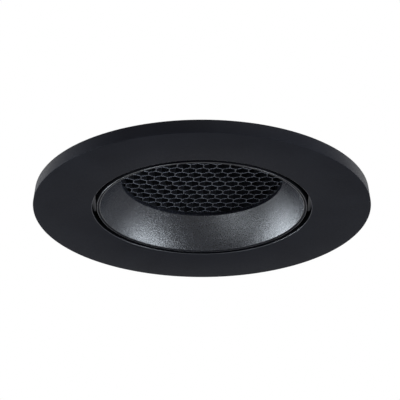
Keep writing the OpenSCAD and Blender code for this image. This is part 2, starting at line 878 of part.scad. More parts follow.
// Centre line of a clip spring in the pin's frame: x out, z up, coil along Y
curl_steps = 8;
leg_turn = 360 - arm_drop;
coil_turn = 360 * (curl_count - 1) + leg_turn;
coil_rings = round(coil_turn / 360 * curl_steps);
arm_dir = [cos(arm_drop), 0, -sin(arm_drop)];
coil_path = [
    for (i = [0 : coil_rings])
        let (turn = coil_turn * i / coil_rings)
        [coil_r * sin(turn), -coil_half + curl_pitch * turn / 360, -coil_r * cos(turn)]
];
spring_path = concat(
    [coil_path[0] - [fixed_leg, 0, 0], coil_path[0] - [2 * wire_r, 0, 0]],
    coil_path,
    [coil_path[coil_rings] + 2 * wire_r * arm_dir, coil_path[coil_rings] + moving_leg * arm_dir]
);

// Smallest gap between curls, from points on the path a turn or so apart
spring_gap = min([
    for (i = [0 : coil_rings - curl_steps + 2], j = [i + curl_steps - 2 : coil_rings])
        norm(coil_path[j] - coil_path[i]) - 2 * wire_r
]);
echo(spring_gap = spring_gap);

function unit(v) = v / norm(v);

// A closed tube of six sides along a path, with its ends square
module wire(path, r) {
    sides = 6;
    last = len(path) - 1;
    ahead = [
        for (i = [0 : last])
            unit(path[min(i + 1, last)] - path[max(i - 1, 0)])
    ];
    rings = [
        for (i = [0 : last])
            let (
                across = unit(cross(ahead[i], [0, 1, 0])),
                up = cross(across, ahead[i])
            )
            for (k = [0 : sides - 1])
                path[i] + r * (cos(k * 360 / sides) * across + sin(k * 360 / sides) * up)
    ];
    faces = concat(
        [[for (k = [0 : sides - 1]) k]],
        [[for (k = [sides - 1 : -1 : 0]) last * sides + k]],
        [
            for (i = [0 : last - 1], k = [0 : sides - 1])
                let (
                    a = i * sides + k, b = i * sides + (k + 1) % sides,
                    c = a + sides, d = b + sides
                )
                each [[a, c, b], [b, c, d]]
        ]
    );
    polyhedron(points = rings, faces = faces);
}

// The same spring serves both sides, turned about the flange's axis
module clip_spring(side) {
    color([0.78, 0.79, 0.8])
    from_face()
    on_side(side) translate([clip_x, 0, clip_z]) wire(spring_path, wire_r);
}

trim_ring();
soffit_gasket();
pivot_screw(-1);  // pivot_screw_left
pivot_screw(1);  // pivot_screw_right
clip_bracket(-1);  // clip_bracket_left
clip_bracket(1);  // clip_bracket_right
bracket_screws();
clip_pin(-1);  // clip_pin_left
clip_pin(1);  // clip_pin_right
clip_spring(-1);  // clip_spring_left
clip_spring(1);  // clip_spring_right
clip_arm(-1);  // clip_arm_left
clip_arm(1);  // clip_arm_right
clip_pad(-1);  // clip_pad_left
clip_pad(1);  // clip_pad_right
gimbal_ring();
pivot_bush(-1);  // pivot_bush_left
pivot_bush(1);  // pivot_bush_right
reflector();
louvre_ring();
honeycomb_louvre();
lens();
lens_seal();
led_chips();
led_board();
thermal_pad();
heat_sink();
housing_screws();
gland_body();
gland_seal();
gland_nut();
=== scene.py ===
from functools import partial
from math import atan2, ceil, cos, pi, radians, sin, sqrt, tan

import bmesh
import bpy
from mathutils import Matrix, Vector


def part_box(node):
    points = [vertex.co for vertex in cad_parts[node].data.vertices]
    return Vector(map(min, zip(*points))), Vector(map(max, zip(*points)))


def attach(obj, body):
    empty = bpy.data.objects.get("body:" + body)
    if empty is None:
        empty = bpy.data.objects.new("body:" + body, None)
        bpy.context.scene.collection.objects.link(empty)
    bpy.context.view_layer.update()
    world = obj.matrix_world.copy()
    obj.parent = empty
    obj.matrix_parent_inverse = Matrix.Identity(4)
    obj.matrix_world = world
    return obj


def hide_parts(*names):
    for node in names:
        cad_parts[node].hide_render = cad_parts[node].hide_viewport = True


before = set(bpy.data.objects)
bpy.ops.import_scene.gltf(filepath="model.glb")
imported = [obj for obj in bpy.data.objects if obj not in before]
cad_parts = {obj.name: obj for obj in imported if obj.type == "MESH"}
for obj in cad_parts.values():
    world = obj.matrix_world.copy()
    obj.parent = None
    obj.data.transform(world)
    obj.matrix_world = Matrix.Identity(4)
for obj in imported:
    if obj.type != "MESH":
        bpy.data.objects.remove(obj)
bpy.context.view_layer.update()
scene = bpy.context.scene
mm = 0.001
rimHeight = 4.0  # heights below are in millimetres up from the exposed face


def at(x, y, z):
    return Vector((x * mm, y * mm, (z - rimHeight) * mm))


def softened(outline, radius=0.0, steps=3):
    # rounds an outline's corners; a corner may carry its own radius as a third value
    done = []
    for i, corner in enumerate(outline):
        here = Vector(corner[:2])
        toBefore = Vector(outline[i - 1][:2]) - here
        toAfter = Vector(outline[(i + 1) % len(outline)][:2]) - here
        half = toBefore.angle(toAfter) / 2
        wanted = corner[2] if len(corner) > 2 else radius
        if wanted <= 0 or half > radians(85):
            done.append(tuple(here))
            continue
        reach = min(wanted / tan(half), toBefore.length * 0.48, toAfter.length * 0.48)
        bend = reach * tan(half)
        centre = here + (toBefore.normalized() + toAfter.normalized()).normalized() * bend / sin(half)
        start = here + toBefore.normalized() * reach - centre
        end = here + toAfter.normalized() * reach - centre
        first = atan2(start.y, start.x)
        sweep = (atan2(end.y, end.x) - first + pi) % (2 * pi) - pi
        for k in range(steps + 1):
            turn = first + sweep * k / steps
            done.append((centre.x + bend * cos(turn), centre.y + bend * sin(turn)))
    return done


def wrapped(rings, capped=False):
    # a closed skin over rings of points; without caps the last ring meets the first
    shape = bmesh.new()
    laid = [[shape.verts.new(p) for p in ring] for ring in rings]
    for i in range(len(laid) - (1 if capped else 0)):
        near, far = laid[i], laid[(i + 1) % len(laid)]
        for j in range(len(near)):
            k = (j + 1) % len(near)
            shape.faces.new((near[j], near[k], far[k], far[j]))
    if capped:
        shape.faces.new(list(reversed(laid[0])))
        shape.faces.new(laid[-1])
    bmesh.ops.remove_doubles(shape, verts=shape.verts, dist=2e-7)
    bmesh.ops.dissolve_degenerate(shape, edges=shape.edges, dist=2e-7)
    bmesh.ops.recalc_face_normals(shape, faces=shape.faces)
    return shape


def turned(outline, segments=192):
    # an outline of (radius, height) turned about the flange's axis
    return wrapped([
        [at(r * cos(2 * pi * i / segments), r * sin(2 * pi * i / segments), z) for i in range(segments)]
        for r, z in outline
    ])


def pressed(outline, low, high, lie):
    # an outline given a thickness; lie turns (across, along, through) into a place
    return wrapped([[lie(u, v, w) for u, v in outline] for w in (low, high)], capped=True)


def lieFlat(u, v, w):
    return at(u, v, w)


def lieUpright(u, v, w):
    return at(u, w, v)


def lieAcross(u, v, w):
    return at(w, u, v)


def roundBar(radius, low, high, lie, x=0.0, y=0.0, sides=48):
    ring = [(x + radius * cos(2 * pi * i / sides), y + radius * sin(2 * pi * i / sides))
            for i in range(sides)]
    return pressed(ring, low, high, lie)


def gathered(shapes):
    whole = bmesh.new()
    for shape in shapes:
        mesh = bpy.data.meshes.new("part")
        shape.to_mesh(mesh)
        shape.free()
        whole.from_mesh(mesh)
        bpy.data.meshes.remove(mesh)
    return whole


def meshObject(name, shape):
    mesh = bpy.data.meshes.new(name)
    shape.to_mesh(mesh)
    shape.free()
    thing = bpy.data.objects.new(name, mesh)
    scene.collection.objects.link(thing)
    return thing


def settled(thing):
    # what the modifiers make becomes the object's own plain mesh
    view = bpy.context.evaluated_depsgraph_get()
    mesh = bpy.data.meshes.new_from_object(thing.evaluated_get(view), depsgraph=view)
    thing.modifiers.clear()
    thing.data = mesh
    return thing


def combined(name, base, *steps):
    # steps are (operation, shape) pairs, done one after another
    thing = meshObject(name, base)
    for operation, shape in steps:
        tool = meshObject("tool", shape)
        cut = thing.modifiers.new(operation, "BOOLEAN")
        cut.operation = operation
        cut.solver = "EXACT"
        cut.object = tool
        settled(thing)
        bpy.data.objects.remove(tool)
    shape = bmesh.new()
    shape.from_mesh(thing.data)
    bpy.data.objects.remove(thing)
    bmesh.ops.remove_doubles(shape, verts=shape.verts, dist=1e-6)
    bmesh.ops.dissolve_degenerate(shape, edges=shape.edges, dist=1e-6)
    return shape


def easedEdges(shape, width, steps=2, sharper=32):
    bmesh.ops.dissolve_limit(shape, angle_limit=radians(1), verts=shape.verts, edges=shape.edges)
    edges = [e for e in shape.edges if e.is_manifold and e.calc_face_angle(0) > radians(sharper)]
    bmesh.ops.bevel(shape, geom=edges, offset=width * mm, segments=steps, profile=0.5,
                    affect="EDGES", clamp_overlap=True)
    return shape


def finished(name, shape, material, smooth=32):
    thing = shape if isinstance(shape, bpy.types.Object) else meshObject(name, shape)
    thing.name = name
    if material and not thing.data.materials:
        thing.data.materials.append(material)
    thing.data.shade_smooth()
    thing.data.set_sharp_from_angle(angle=radians(smooth))
    return thing


def repainted(thing, material, chosen):
    # gives a second finish to the faces that chosen(middle, radius, height, normal) picks
    thing.data.materials.append(material)
    index = len(thing.data.materials) - 1
    for face in thing.data.polygons:
        middle = face.center / mm
        if chosen(middle, (middle.x ** 2 + middle.y ** 2) ** 0.5, middle.z + rimHeight, face.normal):
            face.material_index = index
    return thing


def fitted(thing, body, node):
    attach(thing, body)
    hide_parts(node)
    return thing


def made(name, shape, material, body, node, smooth=32):
    return fitted(finished(name, shape, material, smooth), body, node)


def asMade(shape):
    return shape


def otherSide(shape):
    bmesh.ops.rotate(shape, verts=shape.verts, cent=(0, 0, 0), matrix=Matrix.Rotation(pi, 3, "Z"))
    return shape


def joined(tree, value, socket):
    if isinstance(value, bpy.types.NodeSocket):
        tree.links.new(value, socket)
    else:
        socket.default_value = value


def addNode(tree, kind, inputs=None, **settings):
    node = tree.nodes.new(kind)
    for key, value in settings.items():
        setattr(node, key, value)
    for key, value in (inputs or {}).items():
        joined(tree, value, node.inputs[key])
    return node


def sums(tree, operation, first, second=0.0):
    return addNode(tree, "ShaderNodeMath", {0: first, 1: second}, operation=operation).outputs[0]


def arithmetic(tree):
    # a tree's own plus, minus, times and divided by
    return [partial(sums, tree, operation) for operation in ("ADD", "SUBTRACT", "MULTIPLY", "DIVIDE")]


def painted(tree, geometry, material, where=True):
    return addNode(tree, "GeometryNodeSetMaterial", {
        "Geometry": geometry, "Material": material, "Selection": where}).outputs[0]


def ranged(tree, value, low, high):
    # where a value lies between low and high, from 0 to 1
    return addNode(tree, "ShaderNodeMapRange", {0: value, 1: low, 2: high}).outputs[0]


def newTree(name, kind, inputs, outputs):
    tree = bpy.data.node_groups.new(name, kind)
    for label, sort, value in inputs:
        socket = tree.interface.new_socket(label, in_out="INPUT", socket_type=sort)
        if value is not None:
            socket.default_value = value
    for label, sort in outputs:
        tree.interface.new_socket(label, in_out="OUTPUT", socket_type=sort)
    return tree, tree.nodes.new("NodeGroupInput").outputs, tree.nodes.new("NodeGroupOutput").inputs


def grown(thing, tree, **values):
    # runs a tree on an object; its inputs are set by their identifiers
    grower = thing.modifiers.new(tree.name, "NODES")
    grower.node_group = tree
    names = {item.name: item.identifier for item in tree.interface.items_tree
             if item.item_type == "SOCKET" and item.in_out == "INPUT"}
    for label, value in values.items():
        grower[names[label]] = value
    return settled(thing)


def makeRoundTree():
    # copies of one shape turned about the flange's axis, added to the body they stand on
    tree, given, out = newTree("copiesRoundAxis", "GeometryNodeTree", [
        ("Body", "NodeSocketGeometry", None), ("Shape", "NodeSocketObject", None),
        ("Count", "NodeSocketInt", 8), ("Step", "NodeSocketFloat", 45.0),
        ("First", "NodeSocketFloat", 0.0), ("Opposite", "NodeSocketInt", 1),
        ("Material", "NodeSocketMaterial", None), ("Accent", "NodeSocketMaterial", None),
    ], [("Geometry", "NodeSocketGeometry")])
    plus, minus, times, over = arithmetic(tree)
    total = times(given["Count"], given["Opposite"])
    points = addNode(tree, "GeometryNodeMeshLine", {"Count": total, "Offset": (0, 0, 0)})
    index = addNode(tree, "GeometryNodeInputIndex").outputs[0]
    place = sums(tree, "MODULO", index, given["Count"])
    side = sums(tree, "FLOOR", over(index, given["Count"]))
    turn = plus(given["First"], times(place, given["Step"]))
    turn = sums(tree, "RADIANS", plus(turn, times(side, 180.0)))
    facing = addNode(tree, "ShaderNodeCombineXYZ", {"Z": turn}).outputs[0]
    shape = addNode(tree, "GeometryNodeObjectInfo", {"Object": given["Shape"]}).outputs["Geometry"]
    copies = addNode(tree, "GeometryNodeInstanceOnPoints",
                     {"Points": points.outputs[0], "Instance": shape, "Rotation": facing}).outputs[0]
    both = addNode(tree, "GeometryNodeJoinGeometry")
    tree.links.new(given["Body"], both.inputs[0])
    tree.links.new(copies, both.inputs[0])
    real = addNode(tree, "GeometryNodeRealizeInstances", {"Geometry": both.outputs[0]}).outputs[0]
    plain = painted(tree, real, given["Material"])
    marked = addNode(tree, "GeometryNodeInputNamedAttribute", {"Name": "accent"}, data_type="BOOLEAN")
    tree.links.new(painted(tree, plain, given["Accent"], marked.outputs[0]), out[0])
    return tree


def makeWireTree():
    # a round wire along the object's own line of points
    tree, given, out = newTree("wireOnPath", "GeometryNodeTree", [
        ("Path", "NodeSocketGeometry", None), ("Radius", "NodeSocketFloat", 0.0005),
        ("Sides", "NodeSocketInt", 12), ("Material", "NodeSocketMaterial", None),
    ], [("Geometry", "NodeSocketGeometry")])
    line = addNode(tree, "GeometryNodeMeshToCurve", {"Mesh": given["Path"]}).outputs[0]
    section = addNode(tree, "GeometryNodeCurvePrimitiveCircle",
                      {"Resolution": given["Sides"], "Radius": given["Radius"]}).outputs[0]
    wire = addNode(tree, "GeometryNodeCurveToMesh",
                   {"Curve": line, "Profile Curve": section, "Fill Caps": True}).outputs[0]
    smooth = addNode(tree, "GeometryNodeSetShadeSmooth", {"Geometry": wire}).outputs[0]
    real = addNode(tree, "GeometryNodeRealizeInstances", {"Geometry": smooth}).outputs[0]
    tree.links.new(painted(tree, real, given["Material"]), out[0])
    return tree


def makeHoneycombTree():
    # stretched foil: ribbons that swing from column to column and are bonded where they meet
    tree, given, out = newTree("stretchedFoil", "GeometryNodeTree", [
        ("Cell Pitch", "NodeSocketFloat", 0.0035), ("Row Pitch", "NodeSocketFloat", 0.0026),
        ("Bond", "NodeSocketFloat", 0.0017), ("Foil", "NodeSocketFloat", 0.00012),
        ("Depth", "NodeSocketFloat", 0.0027), ("Bead", "NodeSocketFloat", 0.0002),
        ("Middle X", "NodeSocketFloat", 0.0), ("Middle Y", "NodeSocketFloat", 0.0),
        ("Lean", "NodeSocketFloat", 0.1), ("Sag", "NodeSocketFloat", 0.002),
        ("Curve", "NodeSocketFloat", 0.5),
        ("Cells Radius", "NodeSocketFloat", 0.022), ("Band Radius", "NodeSocketFloat", 0.0226),
        ("Low", "NodeSocketFloat", 0.0052), ("Ribbons", "NodeSocketInt", 36), ("Rows", "NodeSocketInt", 22),
        ("Material", "NodeSocketMaterial", None), ("Cut Edge", "NodeSocketMaterial", None),
        ("Bond Edge", "NodeSocketMaterial", None),
    ], [("Geometry", "NodeSocketGeometry")])
    plus, minus, times, over = arithmetic(tree)
    bondSteps, slopeSteps = 6.0, 4.0
    steps = bondSteps + slopeSteps
    count = times(given["Rows"], steps)
    line = addNode(tree, "GeometryNodeMeshLine", {"Count": count, "Offset": (0, 0, 0.001)}).outputs[0]
    starts = addNode(tree, "GeometryNodeMeshLine",
                     {"Count": given["Ribbons"], "Offset": (0.001, 0, 0)}).outputs[0]
    many = addNode(tree, "GeometryNodeInstanceOnPoints", {"Points": starts, "Instance": line}).outputs[0]
    lines = addNode(tree, "GeometryNodeRealizeInstances", {"Geometry": many}).outputs[0]
    # which ribbon, row and step each point belongs to
    index = addNode(tree, "GeometryNodeInputIndex").outputs[0]
    ribbon = sums(tree, "FLOOR", over(plus(index, 0.5), count))
    point = minus(index, times(ribbon, count))
    row = sums(tree, "FLOOR", over(plus(point, 0.5), steps))
    step = minus(point, times(row, steps))
    onBond = over(sums(tree, "MINIMUM", step, bondSteps), bondSteps)
    onSlope = over(sums(tree, "MAXIMUM", minus(step, bondSteps), 0.0), slopeSteps)
    slope = minus(given["Row Pitch"], given["Bond"])
    half = sums(tree, "FLOOR", over(given["Rows"], 2.0))
    middle = sums(tree, "FLOOR", over(given["Ribbons"], 2.0))
    y = plus(times(minus(row, half), given["Row Pitch"]), times(minus(onBond, 0.5), given["Bond"]))
    y = plus(plus(y, times(onSlope, slope)), given["Middle Y"])
    parity = sums(tree, "MODULO", plus(ribbon, plus(row, plus(half, middle))), 2.0)
    swing = minus(1.0, sums(tree, "ABSOLUTE", parity))
    away = minus(1.0, times(swing, 2.0))
    eased = addNode(tree, "ShaderNodeMapRange", {0: onSlope}, interpolation_type="SMOOTHSTEP").outputs[0]
    eased = times(minus(eased, onSlope), given["Curve"])
    swing = plus(swing, times(plus(onSlope, eased), away))
    # bonded foils lie just clear of each other: half a foil and a little more to each side
    halfCell = over(given["Cell Pitch"], 2.0)
    travel = minus(halfCell, times(given["Foil"], 1.04))
    x = plus(times(minus(ribbon, middle), halfCell), times(given["Foil"], 0.52))
    x = plus(plus(x, given["Middle X"]), times(swing, travel))
    leanX = minus(x, times(given["Lean"], y))
    pull = over(sums(tree, "MINIMUM", x, 0.0), given["Cells Radius"])
    sagY = minus(y, times(given["Sag"], times(pull, pull)))
    middleZ = plus(given["Low"], over(given["Depth"], 2.0))
    place = addNode(tree, "ShaderNodeCombineXYZ", {"X": leanX, "Y": sagY, "Z": middleZ}).outputs[0]
    bonded = sums(tree, "LESS_THAN", onSlope, 0.1)
    marked = addNode(tree, "GeometryNodeStoreNamedAttribute",
                     {"Geometry": lines, "Name": "bond", "Value": bonded},
                     data_type="FLOAT", domain="POINT").outputs[0]
    shaped = addNode(tree, "GeometryNodeSetPosition", {"Geometry": marked, "Position": place}).outputs[0]
    # what reaches past the middle of the band is cut away
    position = addNode(tree, "GeometryNodeInputPosition").outputs[0]
    flatPlace = addNode(tree, "ShaderNodeVectorMath", {0: position, 1: (1, 1, 0)},
                        operation="MULTIPLY").outputs[0]
    reach = addNode(tree, "ShaderNodeVectorMath", {0: flatPlace}, operation="LENGTH").outputs["Value"]
    bury = plus(times(given["Cells Radius"], 0.5), times(given["Band Radius"], 0.5))
    outside = addNode(tree, "FunctionNodeCompare", {0: reach, 1: bury}, operation="GREATER_THAN").outputs[0]
    kept = addNode(tree, "GeometryNodeDeleteGeometry",
                   {"Geometry": shaped, "Selection": outside}).outputs[0]
    curves = addNode(tree, "GeometryNodeMeshToCurve", {"Mesh": kept}).outputs[0]
    upright = addNode(tree, "GeometryNodeSetCurveNormal", {"Curve": curves})
    if "Mode" in upright.inputs:
        upright.inputs["Mode"].default_value = "Z Up"
    else:
        upright.mode = "Z_UP"
    # the foil's section has six corners, so that a bead along the cut edge can take its own finish
    hexagon = addNode(tree, "GeometryNodeCurvePrimitiveCircle",
                      {"Resolution": 6, "Radius": 0.001}).outputs[0]
    corner = addNode(tree, "GeometryNodeInputIndex").outputs[0]
    level = sums(tree, "MINIMUM", corner, minus(5.0, corner))
    sideX = minus(sums(tree, "GREATER_THAN", corner, 2.5), 0.5)
    riseY = times(sums(tree, "GREATER_THAN", level, 0.5), given["Bead"])
    restY = times(sums(tree, "GREATER_THAN", level, 1.5), minus(given["Depth"], given["Bead"]))
    cornerY = minus(plus(riseY, restY), over(given["Depth"], 2.0))
    cornerPlace = addNode(tree, "ShaderNodeCombineXYZ",
                          {"X": times(sideX, given["Foil"]), "Y": cornerY}).outputs[0]
    foil = addNode(tree, "GeometryNodeSetPosition", {"Geometry": hexagon, "Position": cornerPlace}).outputs[0]
    ribbons = addNode(tree, "GeometryNodeCurveToMesh",
                      {"Curve": upright.outputs[0], "Profile Curve": foil, "Fill Caps": True}).outputs[0]
    bandWidth = minus(given["Band Radius"], given["Cells Radius"])
    bandMiddle = minus(given["Band Radius"], over(bandWidth, 2.0))
    hoop = addNode(tree, "GeometryNodeCurvePrimitiveCircle",
                   {"Resolution": 192, "Radius": bandMiddle}).outputs[0]
    hoopPlace = addNode(tree, "ShaderNodeCombineXYZ", {"Z": middleZ}).outputs[0]
    hoop = addNode(tree, "GeometryNodeSetPosition", {"Geometry": hoop, "Offset": hoopPlace}).outputs[0]
    bandFace = addNode(tree, "GeometryNodeCurvePrimitiveQuadrilateral",
                       {"Width": bandWidth, "Height": given["Depth"]}).outputs[0]
    band = addNode(tree, "GeometryNodeCurveToMesh", {"Curve": hoop, "Profile Curve": bandFace}).outputs[0]
    both = addNode(tree, "GeometryNodeJoinGeometry")
    tree.links.new(ribbons, both.inputs[0])
    tree.links.new(band, both.inputs[0])
    real = addNode(tree, "GeometryNodeRealizeInstances", {"Geometry": both.outputs[0]}).outputs[0]
    plain = painted(tree, real, given["Material"])
    inCells = addNode(tree, "FunctionNodeCompare", {0: reach, 1: given["Cells Radius"]},
                      operation="LESS_THAN").outputs[0]
    height = addNode(tree, "ShaderNodeSeparateXYZ", {"Vector": position}).outputs["Z"]
    lowFace = addNode(tree, "FunctionNodeCompare", {0: height, 1: plus(given["Low"], given["Bead"])},
                      operation="LESS_THAN").outputs[0]
    lowFace = addNode(tree, "FunctionNodeBooleanMath", {0: lowFace, 1: inCells}, operation="AND").outputs[0]
    edged = painted(tree, plain, given["Cut Edge"], lowFace)
    bond = addNode(tree, "GeometryNodeInputNamedAttribute", {"Name": "bond"}, data_type="FLOAT").outputs[0]
    onBondFace = addNode(tree, "FunctionNodeCompare", {0: bond, 1: 0.75}, operation="GREATER_THAN").outputs[0]
    lowBond = addNode(tree, "FunctionNodeBooleanMath", {0: lowFace, 1: onBondFace},
                      operation="AND").outputs[0]
    tree.links.new(painted(tree, edged, given["Bond Edge"], lowBond), out[0])
    return tree


roundTree = makeRoundTree()
wireTree = makeWireTree()
honeycombTree = makeHoneycombTree()
print("trees built")


def makeGrainGroup():
    # fine grain of a coat or a moulded skin, and a slow drift of tone
    tree, given, out = newTree("fineGrain", "ShaderNodeTree", [
        ("Grain Size", "NodeSocketFloat", 0.3), ("Sharpness", "NodeSocketFloat", 0.5),
        ("Drift Size", "NodeSocketFloat", 12.0),
    ], [("Height", "NodeSocketFloat"), ("Speckle", "NodeSocketFloat"), ("Drift", "NodeSocketFloat")])
    plus, minus, times, over = arithmetic(tree)
    place = addNode(tree, "ShaderNodeTexCoord").outputs["Object"]
    fine = addNode(tree, "ShaderNodeTexNoise", {
        "Vector": place, "Scale": over(1000.0, given["Grain Size"]),
        "Detail": 2.0, "Roughness": given["Sharpness"]}).outputs["Fac"]
    pebble = addNode(tree, "ShaderNodeTexVoronoi", {
        "Vector": place, "Scale": over(1300.0, given["Grain Size"])},
        feature="SMOOTH_F1").outputs["Distance"]
    slow = addNode(tree, "ShaderNodeTexNoise", {
        "Vector": place, "Scale": over(1000.0, given["Drift Size"]), "Detail": 3.0}).outputs["Fac"]
    tree.links.new(plus(times(fine, 0.7), times(pebble, 0.3)), out["Height"])
    tree.links.new(ranged(tree, fine, 0.35, 0.65), out["Speckle"])
    tree.links.new(ranged(tree, slow, 0.3, 0.7), out["Drift"])
    return tree


def makeStreakGroup():
    # drawing lines of rolled sheet and wire
    tree, given, out = newTree("drawnStreaks", "ShaderNodeTree", [
        ("Stretch", "NodeSocketVector", (1.0, 1.0, 1.0)), ("Size", "NodeSocketFloat", 0.4),
    ], [("Height", "NodeSocketFloat"), ("Streak", "NodeSocketFloat")])
    place = addNode(tree, "ShaderNodeTexCoord").outputs["Object"]
    pulled = addNode(tree, "ShaderNodeVectorMath", {0: place, 1: given["Stretch"]},
                     operation="MULTIPLY").outputs[0]
    line = addNode(tree, "ShaderNodeTexNoise", {
        "Vector": pulled, "Scale": sums(tree, "DIVIDE", 1000.0, given["Size"]), "Detail": 4.0}).outputs["Fac"]
    tree.links.new(line, out["Height"])
    tree.links.new(ranged(tree, line, 0.3, 0.7), out["Streak"])
    return tree


grainGroup = makeGrainGroup()
streakGroup = makeStreakGroup()


def blankFinish(name, settings):
    material = bpy.data.materials.new(name)
    material.use_nodes = True
    tree = material.node_tree
    shader = tree.nodes["Principled BSDF"]
    for key, value in settings.items():
        shader.inputs[key].default_value = value
    return material, tree, shader


def toned(tree, shader, mask, dark, light):
    tone = addNode(tree, "ShaderNodeMix", {"Factor": mask}, data_type="RGBA")
    tone.inputs["A"].default_value = (*dark, 1)
    tone.inputs["B"].default_value = (*light, 1)
    tree.links.new(tone.outputs["Result"], shader.inputs["Base Color"])


def roughened(tree, shader, mask, rough):
    spread = addNode(tree, "ShaderNodeMapRange", {"Value": mask, "To Min": rough[0], "To Max": rough[1]})
    tree.links.new(spread.outputs[0], shader.inputs["Roughness"])


def lifted(tree, shader, height, strength, distance):
    lift = addNode(tree, "ShaderNodeBump", {"Height": height, "Strength": strength, "Distance": distance})
    tree.links.new(lift.outputs[0], shader.inputs["Normal"])


def placedGroup(tree, group, **values):
    # a value for "Grain Size" is given as GrainSize
    node = addNode(tree, "ShaderNodeGroup", node_tree=group)
    for socket in node.inputs:
        if socket.name.replace(" ", "") in values:
            socket.default_value = values[socket.name.replace(" ", "")]
    return node.outputs


def grainFinish(name, dark, light, rough, grain, bump, drift=12.0, by="Drift", sharpness=0.5,
                shine=0.5, **settings):
    # tone and roughness wander between two values; the grain lifts the surface
    material, tree, shader = blankFinish(name, {"Specular IOR Level": shine, **settings})
    coat = placedGroup(tree, grainGroup, GrainSize=grain, Sharpness=sharpness, DriftSize=drift)
    toned(tree, shader, coat[by], dark, light)
    roughened(tree, shader, coat["Speckle"], rough)
    lifted(tree, shader, coat["Height"], bump[0], bump[1] * mm)
    return material


def metalFinish(name, dark, light, rough, stretch, size, bump, metal=1.0, shine=0.5):
    material, tree, shader = blankFinish(name, {"Metallic": metal, "Specular IOR Level": shine})
    drawn = placedGroup(tree, streakGroup, Stretch=stretch, Size=size)
    toned(tree, shader, drawn["Streak"], dark, light)
    roughened(tree, shader, drawn["Streak"], rough)
    lifted(tree, shader, drawn["Height"], bump, 0.02 * mm)
    return material


# name, darker and lighter tone, roughness, grain size, bump as strength and height
blackCoat = grainFinish("blackCoat", (0.0052, 0.0053, 0.0068), (0.0066, 0.0068, 0.0086),
                        (0.45, 0.55), 0.35, (0.25, 0.01), shine=0.016)
# a glossier copy of the black coat with a tone three times lighter: the gloss is real, the lighter tone is a
# painted highlight along the opening's rounded edge
edgeGlossPaintedHighlight = grainFinish("edgeGlossPaintedHighlight", (0.0144, 0.0151, 0.0187), (0.0204, 0.0216, 0.0264),
                       (0.28, 0.36), 0.3, (0.2, 0.01), shine=0.48)
ringEdge = grainFinish("ringEdge", (0.0048, 0.005, 0.0062), (0.0072, 0.0077, 0.0096),
                       (0.22, 0.28), 0.3, (0.1, 0.01), shine=0.9)
gapShade = grainFinish("gapShade", (0.0012, 0.0013, 0.0018), (0.002, 0.0021, 0.0027),
                       (0.5, 0.6), 0.35, (0.2, 0.01), shine=0.01)
# painted light: a copy of the black coat about ten times lighter, for the boss faces that sit in shade up
# inside the opening
bossPaintedLight = grainFinish("bossPaintedLight", (0.0576, 0.0594, 0.0684), (0.0792, 0.081, 0.0936),
                       (0.4, 0.5), 0.3, (0.25, 0.01), shine=0.3)
satinBlack = grainFinish("satinBlack", (0.0002, 0.0003, 0.0008), (0.0115, 0.0125, 0.0165),
                         (0.12, 0.18), 0.3, (1.0, 0.115), by="Speckle", sharpness=0.85, shine=0.31)
foam = grainFinish("foam", (0.012, 0.012, 0.013), (0.035, 0.035, 0.036), (0.85, 0.98), 0.45, (0.8, 0.15),
                   by="Speckle", shine=0.15)
rubber = grainFinish("rubber", (0.012, 0.012, 0.012), (0.02, 0.02, 0.021), (0.6, 0.75), 0.25, (0.35, 0.03),
                     shine=0.35)
silicone = grainFinish("silicone", (0.5, 0.5, 0.49), (0.62, 0.62, 0.6), (0.45, 0.55), 0.4, (0.15, 0.02),
                       **{"Subsurface Weight": 0.15, "Subsurface Scale": 0.001})
nylonBlack = grainFinish("nylonBlack", (0.012, 0.012, 0.013), (0.018, 0.018, 0.019), (0.38, 0.5), 0.35,
                         (0.3, 0.02))
nylonPale = grainFinish("nylonPale", (0.68, 0.66, 0.6), (0.76, 0.74, 0.69), (0.4, 0.5), 0.4, (0.2, 0.02))
sinkCoat = grainFinish("sinkCoat", (0.038, 0.039, 0.042), (0.055, 0.056, 0.06), (0.45, 0.6), 0.45,
                       (0.5, 0.03), drift=8.0, Metallic=0.25)
padGrey = grainFinish("padGrey", (0.2, 0.21, 0.23), (0.28, 0.29, 0.31), (0.7, 0.8), 0.3, (0.3, 0.03))
phosphor = grainFinish("phosphor", (0.72, 0.52, 0.1), (0.85, 0.66, 0.18), (0.35, 0.5), 0.2, (0.2, 0.01),
                       by="Speckle")
chipWhite = grainFinish("chipWhite", (0.72, 0.72, 0.7), (0.8, 0.8, 0.78), (0.35, 0.45), 0.3, (0.15, 0.01))

# name, darker and lighter tone, roughness, stretch, streak size, bump
foilBlack = metalFinish("foilBlack", (0.0028, 0.003, 0.0038), (0.005, 0.0053, 0.0066), (0.4, 0.55),
                        (1, 1, 0.1), 0.3, 0.2, metal=0.0, shine=0.08)
foilEdge = metalFinish("foilEdge", (0.24, 0.2592, 0.312), (0.408, 0.4368, 0.516), (0.35, 0.5),
                       (1, 1, 1), 0.4, 0.3, metal=0.3)
bondEdge = metalFinish("bondEdge", (0.0384, 0.0408, 0.048), (0.072, 0.0744, 0.0864), (0.4, 0.5),
                       (1, 1, 1), 0.4, 0.3, metal=0.3)
steel = metalFinish("steel", (0.32, 0.32, 0.33), (0.42, 0.42, 0.43), (0.32, 0.45), (1, 1, 1), 0.5, 0.15)
zincSheet = metalFinish("zincSheet", (0.3, 0.31, 0.32), (0.4, 0.41, 0.42), (0.38, 0.52),
                        (1, 0.08, 1), 0.6, 0.25)
springWire = metalFinish("springWire", (0.3, 0.3, 0.31), (0.4, 0.4, 0.41), (0.3, 0.42), (1, 1, 1), 0.25, 0.15)


def makeLensGlass():
    material, tree, shader = blankFinish("lensGlass", {
        "Base Color": (0.94, 0.96, 0.96, 1), "Transmission Weight": 1.0, "IOR": 1.5})
    roughened(tree, shader, placedGroup(tree, grainGroup, GrainSize=1.5)["Drift"], (0.03, 0.08))
    return material


